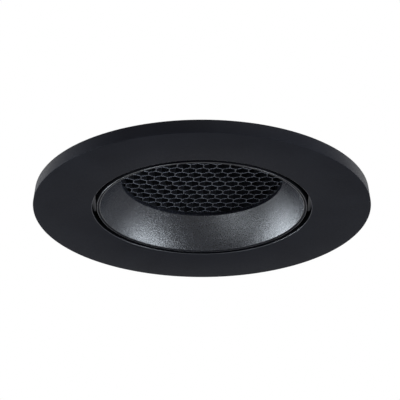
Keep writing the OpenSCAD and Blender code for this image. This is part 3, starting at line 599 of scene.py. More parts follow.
def makeBoardWhite():
    # white mask over copper lands that fan out from the middle
    material, tree, shader = blankFinish("boardWhite", {"Specular IOR Level": 0.4})
    coat = placedGroup(tree, grainGroup, GrainSize=0.5)
    place = addNode(tree, "ShaderNodeTexCoord").outputs["Object"]
    waves = addNode(tree, "ShaderNodeTexWave", {
        "Vector": place, "Scale": 160.0, "Distortion": 1.5, "Detail": 0.0},
        wave_type="RINGS", rings_direction="Z")
    track = ranged(tree, waves.outputs["Fac"], 0.86, 0.9)
    toned(tree, shader, track, (0.82, 0.83, 0.82), (0.7, 0.72, 0.7))
    roughened(tree, shader, coat["Speckle"], (0.35, 0.45))
    both = sums(tree, "ADD", sums(tree, "MULTIPLY", coat["Height"], 0.2), track)
    lifted(tree, shader, both, 0.3, 0.03 * mm)
    return material


lensGlass = makeLensGlass()
boardWhite = makeBoardWhite()
print("finishes built")


flange = {
    "radius": 44.98, "topRadius": 44.5, "landRadius": 43.2, "plate": 2.2,
    "faceEdge": 0.15, "openingEdge": 0.07, "wallInner": 35.6, "wallOuter": 36.8, "wallTop": 6.3,
    "opening": 29.3, "collar": 31.5, "collarTop": 9.5,
    "stopArm": 2.9, "stopSlot": 1.5, "stopSwing": 30.0,
    "bossFace": 28.3, "bossWidth": 10.4, "bossLow": 1.7, "seat": 32.5, "seatWidth": 14.8,
    "ribThick": 1.0, "ribHeight": 2.0, "ribFirst": 30.0, "ribStep": 15.0, "ribCount": 9,
    "axisHeight": 5.5, "screwHole": 1.55,
    "bracketScrewY": 4.9, "bracketScrewZ": 6.0, "bracketScrewHole": 0.85,
}
paintedShadeAndLightZones = {  # where painted shade and painted light lie on the flange, inside the opening
    "reach": 29.6, "face": 0.001, "edgeTop": 0.07, "gapTop": 9.2,
    "bossReach": 27.0, "bossHalf": 5.3, "bossLow": 1.0, "bossTop": 2.4, "facingDown": -0.5,
}


def polar(radius, degrees, x=0.0, y=0.0):
    return x + radius * cos(radians(degrees)), y + radius * sin(radians(degrees))


def stopSlot(f):
    # curved slot with round ends, in which the stop pin travels
    first, last = 90 - f["stopSwing"], 90 + f["stopSwing"]
    reach, half, axis = f["stopArm"], f["stopSlot"] / 2, f["axisHeight"]
    outline = [polar(reach + half, first + (last - first) * k / 12, 0, axis) for k in range(13)]
    outline += [polar(half, last + 22.5 * k, *polar(reach, last, 0, axis)) for k in range(1, 8)]
    outline += [polar(reach - half, last - (last - first) * k / 12, 0, axis) for k in range(13)]
    return outline + [polar(half, first + 180 + 22.5 * k, *polar(reach, first, 0, axis)) for k in range(1, 8)]


def makeFlange(f):
    slopePerMm = (f["radius"] - f["topRadius"]) / (rimHeight - 0.3)
    outline = softened([
        (f["opening"], 0, f["openingEdge"]), (f["radius"] + 0.3 * slopePerMm, 0, f["faceEdge"]),
        (f["topRadius"], rimHeight, 0.15), (f["landRadius"], rimHeight, 0.1),
        (f["landRadius"], f["plate"], 0.25), (f["wallOuter"], f["plate"], 0.25),
        (f["wallOuter"], f["wallTop"], 0.25), (f["wallInner"], f["wallTop"], 0.25),
        (f["wallInner"], f["plate"], 0.3), (f["collar"], f["plate"], 0.3),
        (f["collar"], f["collarTop"], 0.3), (f["opening"], f["collarTop"], 0.3),
    ], steps=4)
    steps = []
    half, wide = f["bossWidth"] / 2, f["seatWidth"] / 2
    inside, outside = f["collar"] - 0.3, f["opening"] + 0.6
    for turnIt in (asMade, otherSide):
        inner = pressed(softened([
            (f["bossFace"], -half, 0.3), (inside, -half), (inside, half), (f["bossFace"], half, 0.3),
        ]), f["bossLow"], f["collarTop"], lieFlat)
        outer = pressed(softened([
            (outside, -wide), (f["seat"], -wide, 0.4), (f["seat"], wide, 0.4), (outside, wide),
        ]), f["plate"] - 0.3, f["collarTop"], lieFlat)
        steps += [("UNION", turnIt(inner)), ("UNION", turnIt(outer))]
    shape = combined("flange", turned(outline, 256), *steps)
    cuts = []
    for turnIt in (asMade, otherSide):
        holes = [roundBar(f["screwHole"], f["bossFace"] - 1, f["seat"] + 1, lieAcross,
                          0, f["axisHeight"], 32)]
        for y in (-f["bracketScrewY"], f["bracketScrewY"]):
            holes.append(roundBar(f["bracketScrewHole"], f["collar"] - 1.4, f["seat"] + 1, lieAcross,
                                  y, f["bracketScrewZ"], 24))
        holes.append(pressed(stopSlot(f), f["bossFace"] - 1, f["opening"], lieAcross))
        cuts += [("DIFFERENCE", turnIt(hole)) for hole in holes]
    shape = combined("flange", shape, *cuts)
    body = finished("flangeBody", shape, blackCoat)
    rib = meshObject("rib", pressed(softened([
        (f["collar"] - 0.2, f["plate"] - 0.2), (f["wallInner"] + 0.2, f["plate"] - 0.2),
        (f["wallInner"] + 0.2, f["plate"] + f["ribHeight"]), (f["collar"] - 0.2, f["plate"] + f["ribHeight"]),
    ]), -f["ribThick"] / 2, f["ribThick"] / 2, lieUpright))
    whole = grown(body, roundTree, Shape=rib, Count=f["ribCount"], Step=f["ribStep"], First=f["ribFirst"],
                  Opposite=2, Material=blackCoat)
    bpy.data.objects.remove(rib)
    return whole


def inOpening(low, high):
    return lambda middle, radius, height, normal: radius < paintedShadeAndLightZones["reach"] and low < height < high


def onBossFace(middle, radius, height, normal):
    return (inOpening(paintedShadeAndLightZones["bossLow"], paintedShadeAndLightZones["bossTop"])(middle, radius, height, normal)
            and abs(middle.y) < paintedShadeAndLightZones["bossHalf"] and abs(middle.x) > paintedShadeAndLightZones["bossReach"]
            and normal.z < paintedShadeAndLightZones["facingDown"])


trimRing = finished("trimRing", makeFlange(flange), None)
# painted shade: the walls up inside the opening take the near-black gapShade
repainted(trimRing, gapShade, inOpening(paintedShadeAndLightZones["edgeTop"], paintedShadeAndLightZones["gapTop"]))
# the opening's rounded edge: glossier coat, with a painted highlight in its lighter tone
repainted(trimRing, edgeGlossPaintedHighlight, inOpening(paintedShadeAndLightZones["face"], paintedShadeAndLightZones["edgeTop"]))
# the boss faces up inside the opening get painted light, as bright as the open face
repainted(trimRing, bossPaintedLight, onBossFace)
fitted(trimRing, "trim", "trim_ring")

gasket = {"inner": 37.7, "outer": 42.9, "low": 2.2, "top": 4.3}
made("soffitGasket", turned(softened([
    (gasket["inner"], gasket["low"]), (gasket["outer"], gasket["low"]),
    (gasket["outer"], gasket["top"]), (gasket["inner"], gasket["top"])], 0.35, 4), 192),
    foam, "trim", "soffit_gasket")
print("flange and gasket made")


ring = {
    "ball": 28.634, "axisHeight": 5.5, "mouth": 27.45, "lip": 27.9, "flat": 28.0, "top": 12.0,
    "rearBore": 23.65,
    "shoulder": 8.9, "shoulderBore": 25.0, "bushHole": 1.7, "stopRadius": 0.6, "stopReach": 29.15,
    "shadeLow": 0.1, "edgeReach": 27.7,
}
cone = {
    "edge": 0.12, "mouth": 27.15, "mouthOuter": 27.4, "throat": 21.6, "throatHeight": 8.0, "bulge": 0.5,
    "wall": 0.9, "flangeRadius": 24.9, "flangeTop": 8.8, "steps": 40,
}


def coneHeight(k, steps=10):
    return cone["edge"] + (cone["throatHeight"] - cone["edge"]) * k / steps


def coneRadius(z):
    t = (z - cone["edge"]) / (cone["throatHeight"] - cone["edge"])
    return cone["mouth"] + (cone["throat"] - cone["mouth"]) * t + 4 * cone["bulge"] * t * (1 - t)


def makeTiltRing(r):
    outer = []
    for k in range(25):
        z = r["top"] * (k / 24) ** 0.9
        outer.append((sqrt(r["ball"] ** 2 - (z - r["axisHeight"]) ** 2), z))
    outline = [(r["mouth"], 0, 0.05), (r["lip"], 0, 0.1)] + outer[1:-1] + [
        (*outer[-1], 0.25), (r["rearBore"], r["top"], 0.2), (r["rearBore"], r["shoulder"]),
        (r["shoulderBore"], r["shoulder"])]
    for z in [coneHeight(k) for k in range(9, 0, -1)]:
        back = min(cone["mouthOuter"], coneRadius(z) + cone["wall"]) + 0.2
        outline.append((max(min(r["mouth"], back), r["shoulderBore"]), z))
    base = turned(softened(outline), 256)
    slab = pressed([(-r["flat"], -30), (r["flat"], -30), (r["flat"], 30), (-r["flat"], 30)], -1, 13, lieFlat)
    steps = [("INTERSECT", slab)]
    for turnIt in (asMade, otherSide):
        hole = roundBar(r["bushHole"], 25.6, 29, lieAcross, 0, r["axisHeight"])
        pin = roundBar(r["stopRadius"], 27.4, r["stopReach"], lieAcross, 0,
                       r["axisHeight"] + flange["stopArm"], 24)
        steps += [("DIFFERENCE", turnIt(hole)), ("UNION", turnIt(pin))]
    return combined("tiltRing", base, *steps)


tiltRing = finished("tiltRing", makeTiltRing(ring), blackCoat)
repainted(tiltRing, gapShade, lambda middle, radius, height, normal: height > ring["shadeLow"])
repainted(tiltRing, ringEdge, lambda middle, radius, height, normal:
          paintedShadeAndLightZones["face"] < height < ring["shadeLow"] and radius > ring["edgeReach"])
fitted(tiltRing, "lamp", "gimbal_ring")


def makeCone(c):
    inner = [(coneRadius(z), z) for z in [coneHeight(k, c["steps"]) for k in range(1, c["steps"] + 1)]]
    back = [(min(c["mouthOuter"], coneRadius(z) + c["wall"]), z)
            for z in [coneHeight(k) for k in range(9, 0, -1)]]
    front = softened([back[-1], (c["mouthOuter"], c["edge"], 0.09), (c["mouth"], c["edge"], 0.09),
                      inner[0]])[1:-1]
    return turned(inner + [(c["throat"], c["flangeTop"]), (c["flangeRadius"], c["flangeTop"]),
                           (c["flangeRadius"], c["throatHeight"]),
                           (c["throat"] + c["wall"], c["throatHeight"])]
                  + back + front, 256)


made("antiGlareCone", makeCone(cone), satinBlack, "lamp", "reflector", 40)
print("tilting ring and cone made")


honeycomb = {
    "Cell Pitch": 3.52 * mm, "Row Pitch": 2.66 * mm, "Bond": 1.7 * mm, "Foil": 0.07 * mm,
    "Depth": 2.7 * mm, "Bead": 0.12 * mm, "Middle X": -0.3 * mm, "Middle Y": 1.2 * mm,
    "Lean": 0.115, "Sag": 2.0 * mm, "Curve": 0.6, "Cells Radius": 21.9 * mm, "Band Radius": 22.6 * mm,
    "Low": (9.2 - rimHeight) * mm, "Ribbons": 36, "Rows": 22,
}
foilBlock = grown(meshObject("honeycombFoil", bmesh.new()), honeycombTree, Material=foilBlack,
                  **{"Cut Edge": foilEdge, "Bond Edge": bondEdge}, **honeycomb)
made("honeycombFoil", foilBlock, None, "lamp", "honeycomb_louvre")

louvre = {"lipBore": 22.1, "bore": 22.7, "radius": 23.55, "low": 8.9, "seat": 9.2, "top": 11.9}
made("louvreRing", turned(softened([
    (louvre["lipBore"], louvre["low"], 0.08), (louvre["radius"], louvre["low"], 0.12),
    (louvre["radius"], louvre["top"], 0.15), (louvre["bore"], louvre["top"], 0.15),
    (louvre["bore"], louvre["seat"]), (louvre["lipBore"], louvre["seat"], 0.08)]), 192),
    foilBlack, "lamp", "louvre_ring")

lens = {"radius": 22.8, "low": 11.9, "top": 12.6, "sealBore": 21.2, "sealTop": 13.0}
made("lensDisc", turned(softened([
    (0, lens["low"]), (lens["radius"], lens["low"], 0.12),
    (lens["radius"], lens["top"], 0.12), (0, lens["top"])]), 192), lensGlass, "lamp", "lens")
made("lensSeal", turned(softened([
    (lens["sealBore"], lens["top"]), (lens["radius"], lens["top"]),
    (lens["radius"], lens["sealTop"]), (lens["sealBore"], lens["sealTop"])], 0.12), 160),
    silicone, "lamp", "lens_seal")

chips = {"circle": 13.0, "width": 3.0, "low": 12.9, "top": 13.25, "count": 9}


def makeChip(c):
    half = c["width"] / 2
    square = softened([(c["circle"] - half, -half), (c["circle"] + half, -half),
                       (c["circle"] + half, half), (c["circle"] - half, half)], 0.2)
    body = pressed(square, c["low"] + 0.06, c["top"], lieFlat)
    rings = []
    for size, z in ((1.2, c["low"] + 0.1), (1.2, c["low"] + 0.04), (1.1, c["low"] + 0.01), (0.8, c["low"])):
        pad = softened([(-size, -size), (size, -size), (size, size), (-size, size)], 0.35)
        rings.append([at(c["circle"] + u, v, z) for u, v in pad])
    pad = wrapped(rings, capped=True)
    count = len(body.faces)
    chip = meshObject("chip", gathered([body, pad]))
    marks = chip.data.attributes.new("accent", "BOOLEAN", "FACE")
    for i, mark in enumerate(marks.data):
        mark.value = i >= count
    return chip


oneChip = makeChip(chips)
lightChips = grown(meshObject("lightChips", bmesh.new()), roundTree, Shape=oneChip, Count=chips["count"],
                   Step=360 / chips["count"], Material=chipWhite, Accent=phosphor)
bpy.data.objects.remove(oneChip)
made("lightChips", lightChips, None, "lamp", "led_chips")

for node, material in (("led_board", boardWhite), ("thermal_pad", padGrey)):
    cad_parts[node].data.materials.clear()
    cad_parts[node].data.materials.append(material)
print("lamp made")


screw = {"head": 1.6, "headTop": 1.28, "headHeight": 1.0, "thread": 0.8, "recess": 0.4}


def makeScrew(s, length):
    # a pan head with a cross recess, its seat at height 0
    outline = softened([(0, s["headHeight"]), (s["headTop"], s["headHeight"], 0.45), (s["head"], 0.05, 0.1),
                        (s["head"], 0, 0.05), (s["thread"], 0)])
    z = -0.1
    while z > -length + 0.3:
        outline += [(s["thread"], z), (s["thread"] - 0.1, z - 0.1)]
        z -= 0.2
    outline += [(s["thread"] - 0.1, -length + 0.2), (s["thread"] - 0.3, -length), (0, -length)]
    base = turned([(r, h + rimHeight) for r, h in outline], 48)
    cross, low, high = [], s["headHeight"] / 2 + rimHeight, s["headHeight"] + 1 + rimHeight
    for wide, deep in ((s["thread"], s["recess"] / 2), (s["recess"] / 2, s["thread"])):
        corners = [(-wide, -deep), (wide, -deep), (wide, deep), (-wide, deep)]
        cross.append(("DIFFERENCE", pressed(corners, low, high, lieFlat)))
    return combined("screw", base, *cross)


def moved(shape, *steps):
    for step in steps:
        bmesh.ops.transform(shape, matrix=step, verts=shape.verts)
    return shape


housingScrew = {"radius": 25.3, "angle": 33.0, "seat": 13.0, "length": 3.6}
oneScrew = meshObject("screw", moved(makeScrew(screw, housingScrew["length"]), Matrix.Translation(
    at(housingScrew["radius"], 0, housingScrew["seat"]))))
housingScrews = grown(meshObject("housingScrews", bmesh.new()), roundTree, Shape=oneScrew, Count=2,
                      Step=180 - 2 * housingScrew["angle"], First=housingScrew["angle"], Opposite=2,
                      Material=steel)
bpy.data.objects.remove(oneScrew)
made("housingScrews", housingScrews, None, "lamp", "housing_screws")

bracketScrew = {"seat": 33.3, "y": 4.9, "z": 6.0, "length": 3.0}
pair = [moved(makeScrew(screw, bracketScrew["length"]), Matrix.Rotation(pi / 2, 4, "Y"), Matrix.Translation(
    at(bracketScrew["seat"], y, bracketScrew["z"]))) for y in (-bracketScrew["y"], bracketScrew["y"])]
screwPair = meshObject("screw", gathered(pair))
bracketScrews = grown(meshObject("bracketScrews", bmesh.new()), roundTree, Shape=screwPair, Count=2,
                      Step=180.0, Material=steel)
bpy.data.objects.remove(screwPair)
made("bracketScrews", bracketScrews, None, "trim", "bracket_screws")
print("screws made")


sink = {
    "radius": 25.9, "low": 12.0, "flangeTop": 13.2, "lensPocket": 23.0, "lensPocketTop": 13.0,
    "boardPocket": 20.6, "roof": 14.3, "base": 15.5, "hub": 7.0, "hubTop": 17.0,
    "threadHole": 4.05, "threadSeat": 15.0, "lead": 2.5,
    "earRadius": 2.0, "spotFace": 13.0, "headClear": 1.7, "finCount": 24, "finThick": 1.1, "finSlope": 0.47,
    "finInner": 10.4, "finOuter": 21.24,
}


def makeSink(s):
    outline = softened([
        (s["lensPocket"], s["low"]), (s["radius"], s["low"], 0.25), (s["radius"], s["flangeTop"], 0.35),
        (s["radius"] - 0.9, s["flangeTop"], 0.3), (s["boardPocket"] + 0.5, s["base"], 0.6),
        (s["hub"], s["base"], 0.4), (s["hub"], s["hubTop"], 0.3),
        (s["threadHole"], s["hubTop"], 0.15), (s["threadHole"], s["threadSeat"]),
        (s["lead"], s["threadSeat"]), (s["lead"], s["roof"]), (s["boardPocket"], s["roof"]),
        (s["boardPocket"], s["lensPocketTop"]), (s["lensPocket"], s["lensPocketTop"]),
    ])
    angle, around = housingScrew["angle"], housingScrew["radius"]
    places = [(around * cos(radians(turn)), around * sin(radians(turn)))
              for turn in (angle, 180 - angle, 180 + angle, 360 - angle)]
    steps = [("UNION", roundBar(s["earRadius"], s["low"] + 0.001, s["flangeTop"] - 0.001, lieFlat, x, y, 40))
             for x, y in places]
    steps += [("DIFFERENCE", roundBar(s["headClear"], s["spotFace"], 20, lieFlat, x, y, 40))
              for x, y in places]
    body = finished("sinkBody", combined("sinkBody", turned(outline, 224), *steps), sinkCoat)

    def finTop(radius):
        return s["base"] + s["finSlope"] * (s["boardPocket"] - radius)

    profile = softened([
        (s["hub"] - 1, s["base"] - 0.6), (s["finOuter"], s["base"] - 0.6),
        (s["finOuter"], finTop(s["finOuter"])), (s["finInner"], finTop(s["finInner"]), 0.5),
        (s["hub"] - 1, s["hubTop"] - 0.5),
    ])
    fin = pressed(profile, -s["finThick"] / 2, s["finThick"] / 2, lieUpright)
    fin = meshObject("fin", easedEdges(fin, 0.22, 2))
    whole = grown(body, roundTree, Shape=fin, Count=s["finCount"], Step=360 / s["finCount"],
                  Material=sinkCoat)
    bpy.data.objects.remove(fin)
    return whole


made("heatSink", makeSink(sink), None, "lamp", "heat_sink")
print("heat sink made")


gland = {
    "flats": 10.0, "thread": 4.0, "threadSeat": 15.0, "hexLow": 17.0, "hexTop": 19.0, "neck": 3.9,
    "neckTop": 21.4, "bore": 3.0, "boreLow": 18.4, "lead": 2.5, "nutLow": 19.1, "nutTop": 22.5,
    "nutBore": 4.0, "nutBoreTop": 21.5, "sealBore": 2.3,
}


def hexRadius(turn, flats, corner=0.35):
    # a hexagon's reach at an angle, its corners cut back a little
    swing = (turn + pi / 6) % (pi / 3) - pi / 6
    return min(flats / 2 / cos(pi / 6 - abs(swing)), flats / 2 / cos(pi / 6) - corner * 0.4)


def cutHexagon(g, cut):
    # the reach at an angle of a hexagon with its corners turned down to a circle
    return lambda turn: min(hexRadius(turn, g["flats"]), cut)


def glandRing(radius, z, sides=144):
    # a radius may be a function of the angle
    points = []
    for i in range(sides):
        turn = 2 * pi * i / sides
        reach = radius(turn) if callable(radius) else radius
        points.append(at(reach * cos(turn), reach * sin(turn), z))
    return points


def makeGlandBody(g):
    rings = [glandRing(g["thread"], g["hexLow"])]
    z = g["hexLow"] - 0.1
    while z > g["threadSeat"] + 0.4:
        rings += [glandRing(g["thread"], z), glandRing(g["thread"] - 0.2, z - 0.2)]
        z -= 0.4
    rings += [glandRing(g["thread"] - 0.2, g["threadSeat"]), glandRing(g["lead"], g["threadSeat"]),
              glandRing(g["lead"], g["boreLow"]), glandRing(g["bore"], g["boreLow"]),
              glandRing(g["bore"], g["neckTop"]), glandRing(g["neck"] - 0.15, g["neckTop"]),
              glandRing(g["neck"], g["neckTop"] - 0.15), glandRing(g["neck"], g["hexTop"]),
              glandRing(cutHexagon(g, 5.15), g["hexTop"]), glandRing(cutHexagon(g, 5.6), g["hexTop"] - 0.2),
              glandRing(cutHexagon(g, 5.6), g["hexLow"] + 0.15), glandRing(cutHexagon(g, 5.3), g["hexLow"])]
    return wrapped(rings)


def makeGlandNut(g):
    def dome(z):
        cap = 5.7 - 1.75 * max(0.0, (z - g["nutLow"] - 1.7) / (g["nutTop"] - g["nutLow"] - 1.7)) ** 2.2
        return cutHexagon(g, cap)

    rings = [glandRing(g["nutBore"], g["nutLow"]), glandRing(g["nutBore"], g["nutBoreTop"]),
             glandRing(g["lead"], g["nutBoreTop"]), glandRing(g["lead"], g["nutTop"] - 0.15),
             glandRing(g["lead"] + 0.15, g["nutTop"])]
    for k in range(9):
        rings.append(glandRing(dome(g["nutTop"] - 1.7 * k / 8), g["nutTop"] - 1.7 * k / 8))
    rings += [glandRing(dome(g["nutLow"]), g["nutLow"] + 0.2),
              glandRing(cutHexagon(g, 5.3), g["nutLow"])]
    return wrapped(rings)


made("glandBody", makeGlandBody(gland), nylonBlack, "lamp", "gland_body")
made("glandNut", makeGlandNut(gland), nylonBlack, "lamp", "gland_nut")
made("glandSeal", turned(softened([
    (gland["sealBore"], gland["boreLow"]), (gland["bore"], gland["boreLow"]),
    (gland["bore"], gland["neckTop"]), (gland["sealBore"], gland["neckTop"], 0.3)]), 96),
    rubber, "lamp", "gland_seal")
print("cable gland made")


clip = {
    "pinX": 34.2, "pinZ": 11.4, "pinRadius": 0.8, "eye": 1.5, "seat": 32.5, "sheet": 0.8,
    "width": 14.8, "webLow": 3.0, "webTop": 9.3, "bend": 0.9, "pinHead": 1.1, "pinHeadThick": 0.5,
    "armLength": 9.0, "armDrop": 22.0, "armHalf": 6.3, "tipWidth": 9.0, "webNear": -1.9, "webFar": -2.7,
    "padLength": 3.6, "padThick": 0.8, "padInset": 0.2,
    "wire": 0.35, "coil": 1.45, "curls": 6, "curlPitch": 1.2, "fixedLeg": 4.0, "movingLeg": 6.4,
}


def arcOutline(x, z, radius, first, last, steps=16):
    return [(x + radius * cos(radians(first + (last - first) * k / steps)),
             z + radius * sin(radians(first + (last - first) * k / steps))) for k in range(steps + 1)]


def makeBracket(c):
    wide, sheet, seat = c["width"] / 2, c["sheet"], c["seat"]
    reach = c["pinX"] + c["eye"] + 1
    channel = [(seat, -wide, c["bend"]), (reach, -wide), (reach, -wide + sheet),
               (seat + sheet, -wide + sheet, 0.2), (seat + sheet, wide - sheet, 0.2),
               (reach, wide - sheet), (reach, wide), (seat, wide, c["bend"])]
    base = pressed(softened(channel, steps=5), c["webLow"], c["pinZ"] + c["eye"] + 1, lieFlat)
    side = [(seat - 1, c["webLow"] + 0.001), (seat + sheet, c["webLow"] + 0.001, 0.0), (seat + sheet, 6.3),
            (seat + sheet + 1.0, 7.3, 0.6)]
    side += arcOutline(c["pinX"], c["pinZ"], c["eye"], -20, 154)
    side += [(seat, c["webTop"], 0.4), (seat - 1, c["webTop"])]
    profile = pressed(softened(side), -wide - 1, wide + 1, lieUpright)
    cuts = [("INTERSECT", profile),
            ("DIFFERENCE", roundBar(c["pinRadius"], -wide - 1, wide + 1, lieUpright,
                                    c["pinX"], c["pinZ"], 32)),
            ("DIFFERENCE", roundBar(1.8, seat - 1, seat + 2, lieAcross, 0, flange["axisHeight"], 32))]
    for y in (-bracketScrew["y"], bracketScrew["y"]):
        cuts.append(("DIFFERENCE", roundBar(0.9, seat - 1, seat + 2, lieAcross, y, bracketScrew["z"], 24)))
    return easedEdges(combined("bracket", base, *cuts), 0.09, 2, 40)


def onPin(c):
    # from the clip's own frame, u along the arm and w square to it, onto its pin
    place = at(c["pinX"], 0, c["pinZ"])
    return Matrix.Translation(place) @ Matrix.Rotation(radians(c["armDrop"]), 4, "Y")


def lieInClip(u, v, w):
    return Vector((u * mm, v * mm, w * mm))


def lieUpInClip(u, v, w):
    return lieInClip(u, w, v)


def lieAlongClip(u, v, w):
    return lieInClip(w, u, v)


def makeArm(c):
    half, sheet, near, far = c["armHalf"], c["sheet"], c["webNear"], c["webFar"]
    flatEnd, startU = c["armLength"] * 0.75, c["eye"] + sheet
    section = softened([(-half, far, 0.8), (half, far, 0.8), (half, 3), (half - sheet, 3),
                        (half - sheet, near, 0.15), (-half + sheet, near, 0.15), (-half + sheet, 3),
                        (-half, 3)], steps=5)
    base = pressed(section, -3, c["armLength"] + 1, lieAlongClip)
    side = arcOutline(0, 0, c["eye"], 45, 225) + [
        (startU, far - 0.001, 0.8), (c["armLength"] + 2, far - 0.001), (c["armLength"] + 2, near),
        (flatEnd, near, 0.2)]
    profile = pressed(softened(side), -9, 9, lieUpInClip)
    tip, end = c["tipWidth"] / 2, c["armLength"]
    plan = softened([(-3, -9), (flatEnd, -9), (flatEnd, -half, 0.3), (end - 1, -tip, 0.6),
                     (end, -tip + 1, 0.6), (end, tip - 1, 0.6), (end - 1, tip, 0.6),
                     (flatEnd, half, 0.3), (flatEnd, 9), (-3, 9)])
    top = pressed(plan, -6, 6, lieInClip)
    pin = roundBar(c["pinRadius"] + 0.05, -9, 9, lieUpInClip, 0, 0, 32)
    shape = combined("arm", base, ("INTERSECT", profile), ("INTERSECT", top), ("DIFFERENCE", pin))
    return moved(easedEdges(shape, 0.09, 2, 40), onPin(c))


def makePad(c):
    high = c["webFar"]
    low, near = high - c["padThick"], c["armLength"] - c["padLength"] - c["padInset"]
    outline = [(near, high, 0.05), (near, low, 0.25)]
    grooves = 4
    for k in range(1, grooves + 1):
        middle = near + c["padLength"] * k / (grooves + 1)
        outline += [(middle - 0.22, low, 0.06), (middle - 0.12, low + 0.25, 0.06),
                    (middle + 0.12, low + 0.25, 0.06), (middle + 0.22, low, 0.06)]
    outline += [(near + c["padLength"], low, 0.25), (near + c["padLength"], high, 0.05)]
    half = c["tipWidth"] / 2 - 1
    return moved(pressed(softened(outline), -half, half, lieUpInClip), onPin(c))


def makePin(c):
    long, head = c["width"] / 2, c["pinHeadThick"]
    start = (0, -long - head)
    outline = [start] + softened([start, (c["pinHead"], -long - head, 0.3), (c["pinHead"], -long, 0.08),
                                  (c["pinRadius"], -long)])[1:]
    outline += [(r, -z) for r, z in reversed(outline)]
    shape = turned([(r, z + rimHeight) for r, z in outline], 40)
    return moved(shape, Matrix.Rotation(pi / 2, 4, "X"), Matrix.Translation(at(c["pinX"], 0, c["pinZ"])))


def springLine(c, stepsPerTurn=28):
    turns = 360 * (c["curls"] - 1) + 360 - c["armDrop"]
    count = ceil(turns / 360 * stepsPerTurn)
    half = c["curls"] * c["curlPitch"] / 2
    coil = []
    for k in range(count + 1):
        turn = turns * k / count
        along = -half + c["curlPitch"] * turns / 360 * k / count
        coil.append(Vector((c["coil"] * sin(radians(turn)), along, -c["coil"] * cos(radians(turn)))))
    along = Vector((cos(radians(c["armDrop"])), 0, -sin(radians(c["armDrop"]))))
    line = [coil[0] - Vector((c["fixedLeg"] - d, 0, 0)) for d in (0, 1, 2, 3, 3.6)] + coil
    line += [coil[-1] + along * d for d in (0.4, 1.5, 3, 4.5, c["movingLeg"])]
    return [at(c["pinX"] + p.x, p.y, c["pinZ"] + p.z) for p in line]


def makeSpring(name, c, turnIt):
    shape = bmesh.new()
    points = [shape.verts.new(p) for p in springLine(c)]
    for a, b in zip(points, points[1:]):
        shape.edges.new((a, b))
    return grown(meshObject(name, turnIt(shape)), wireTree, Radius=c["wire"] * mm, Sides=14,
                 Material=springWire)


grub = {
    "radius": 1.5, "root": 1.38, "threadEnd": 1.3, "pitch": 0.3, "inset": 0.2,
    "socket": 1.5, "socketDeep": 1.2, "point": 1.0, "tip": 26.3,
}
bush = {"bore": 1.05, "radius": 1.65, "faceBore": 1.1, "faceRadius": 1.6, "outerBore": 1.15, "end": 28.0}


def barRing(radius, x):
    # a ring round the bar that lies along the tilt axis, made at the flange's axis
    return [Vector((x * mm, p.x, p.y)) for p in glandRing(radius, rimHeight, 48)]


def ontoAxis(shape):
    return moved(shape, Matrix.Translation(Vector((0, 0, (flange["axisHeight"] - rimHeight) * mm))))


def makeGrubScrew(g):
    # headless screw: hexagon socket outside, plain point inside
    start, end = flange["bossFace"] + g["inset"], flange["seat"] - g["inset"]

    def socket(turn):
        return hexRadius(turn, g["socket"], 0.0)

    floor = end - g["socketDeep"]
    rings = [barRing(0.0, floor), barRing(socket, floor), barRing(socket, end),
             barRing(g["threadEnd"], end), barRing(g["radius"], end - 0.2)]
    x = end - 0.35
    while x > start + 0.5:
        rings += [barRing(g["radius"], x), barRing(g["root"], x - g["pitch"] / 2)]
        x -= g["pitch"]
    rings += [barRing(g["radius"], start + 0.2), barRing(g["threadEnd"], start),
              barRing(g["point"], start - 0.1), barRing(g["point"], g["tip"] + 0.1),
              barRing(g["point"] - 0.1, g["tip"]), barRing(0.0, g["tip"])]
    return ontoAxis(wrapped(rings))


def makeBush(b):
    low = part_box("pivot_bush_right")[0].x / mm
    return ontoAxis(wrapped([
        barRing(b["bore"], low + 0.05), barRing(b["faceBore"], low), barRing(b["faceRadius"], low),
        barRing(b["radius"], low + 0.05), barRing(b["radius"], b["end"] - 0.05),
        barRing(b["faceRadius"], b["end"]), barRing(b["outerBore"], b["end"]),
        barRing(b["bore"], b["end"] - 0.1)]))


for label, turnIt in (("right", asMade), ("left", otherSide)):
    moving = label + "_clip"
    made("clipBracket." + label, turnIt(makeBracket(clip)), zincSheet,
         "trim", "clip_bracket_" + label)
    made("clipArm." + label, turnIt(makeArm(clip)), zincSheet, moving, "clip_arm_" + label)
    made("clipPad." + label, turnIt(makePad(clip)), rubber, moving, "clip_pad_" + label)
    made("clipPin." + label, turnIt(makePin(clip)), steel, "trim", "clip_pin_" + label)
    made("clipSpring." + label, makeSpring("clipSpring", clip, turnIt), None,
         "trim", "clip_spring_" + label, 40)
    made("pivotScrew." + label, turnIt(makeGrubScrew(grub)), steel, "trim", "pivot_screw_" + label)
    made("pivotBush." + label, turnIt(makeBush(bush)), nylonPale, "lamp", "pivot_bush_" + label)
print("clips and pivots made")


studio = {
    "floorDrop": 1.25, "floorSize": 14.0, "floorTone": (0.9, 0.9, 0.9), "floorGlow": (0.32, 0.75),
    "glowReach": (0.6, 4.0), "ambient": 0.18, "boxTint": (0.84, 0.92, 1.0),
    "left": {"place": (-0.78, 0.12, -0.1), "size": (0.8, 0.36), "power": 4.8, "spread": 75},
    "right": {"place": (0.61, -0.28, -0.22), "size": (0.54, 0.3), "power": 2.7, "spread": 75},
    "low": {"place": (-0.26, -0.12, -0.37), "size": (0.16, 0.16), "power": 0.32, "spread": 90},
    "leftBack": {"place": (-0.93, 0.62, 0.5), "size": (1.0, 0.6), "power": 6.2},
    "rightBack": {"place": (0.93, 0.62, 0.5), "size": (1.0, 0.6), "power": 6.2},
    "top": {"place": (0.4, -0.5, 1.3), "size": (1.2, 1.2), "power": 22.0},
}


def pointedAt(place, target):
    return (Vector(target) - Vector(place)).to_track_quat("-Z", "Y").to_euler()


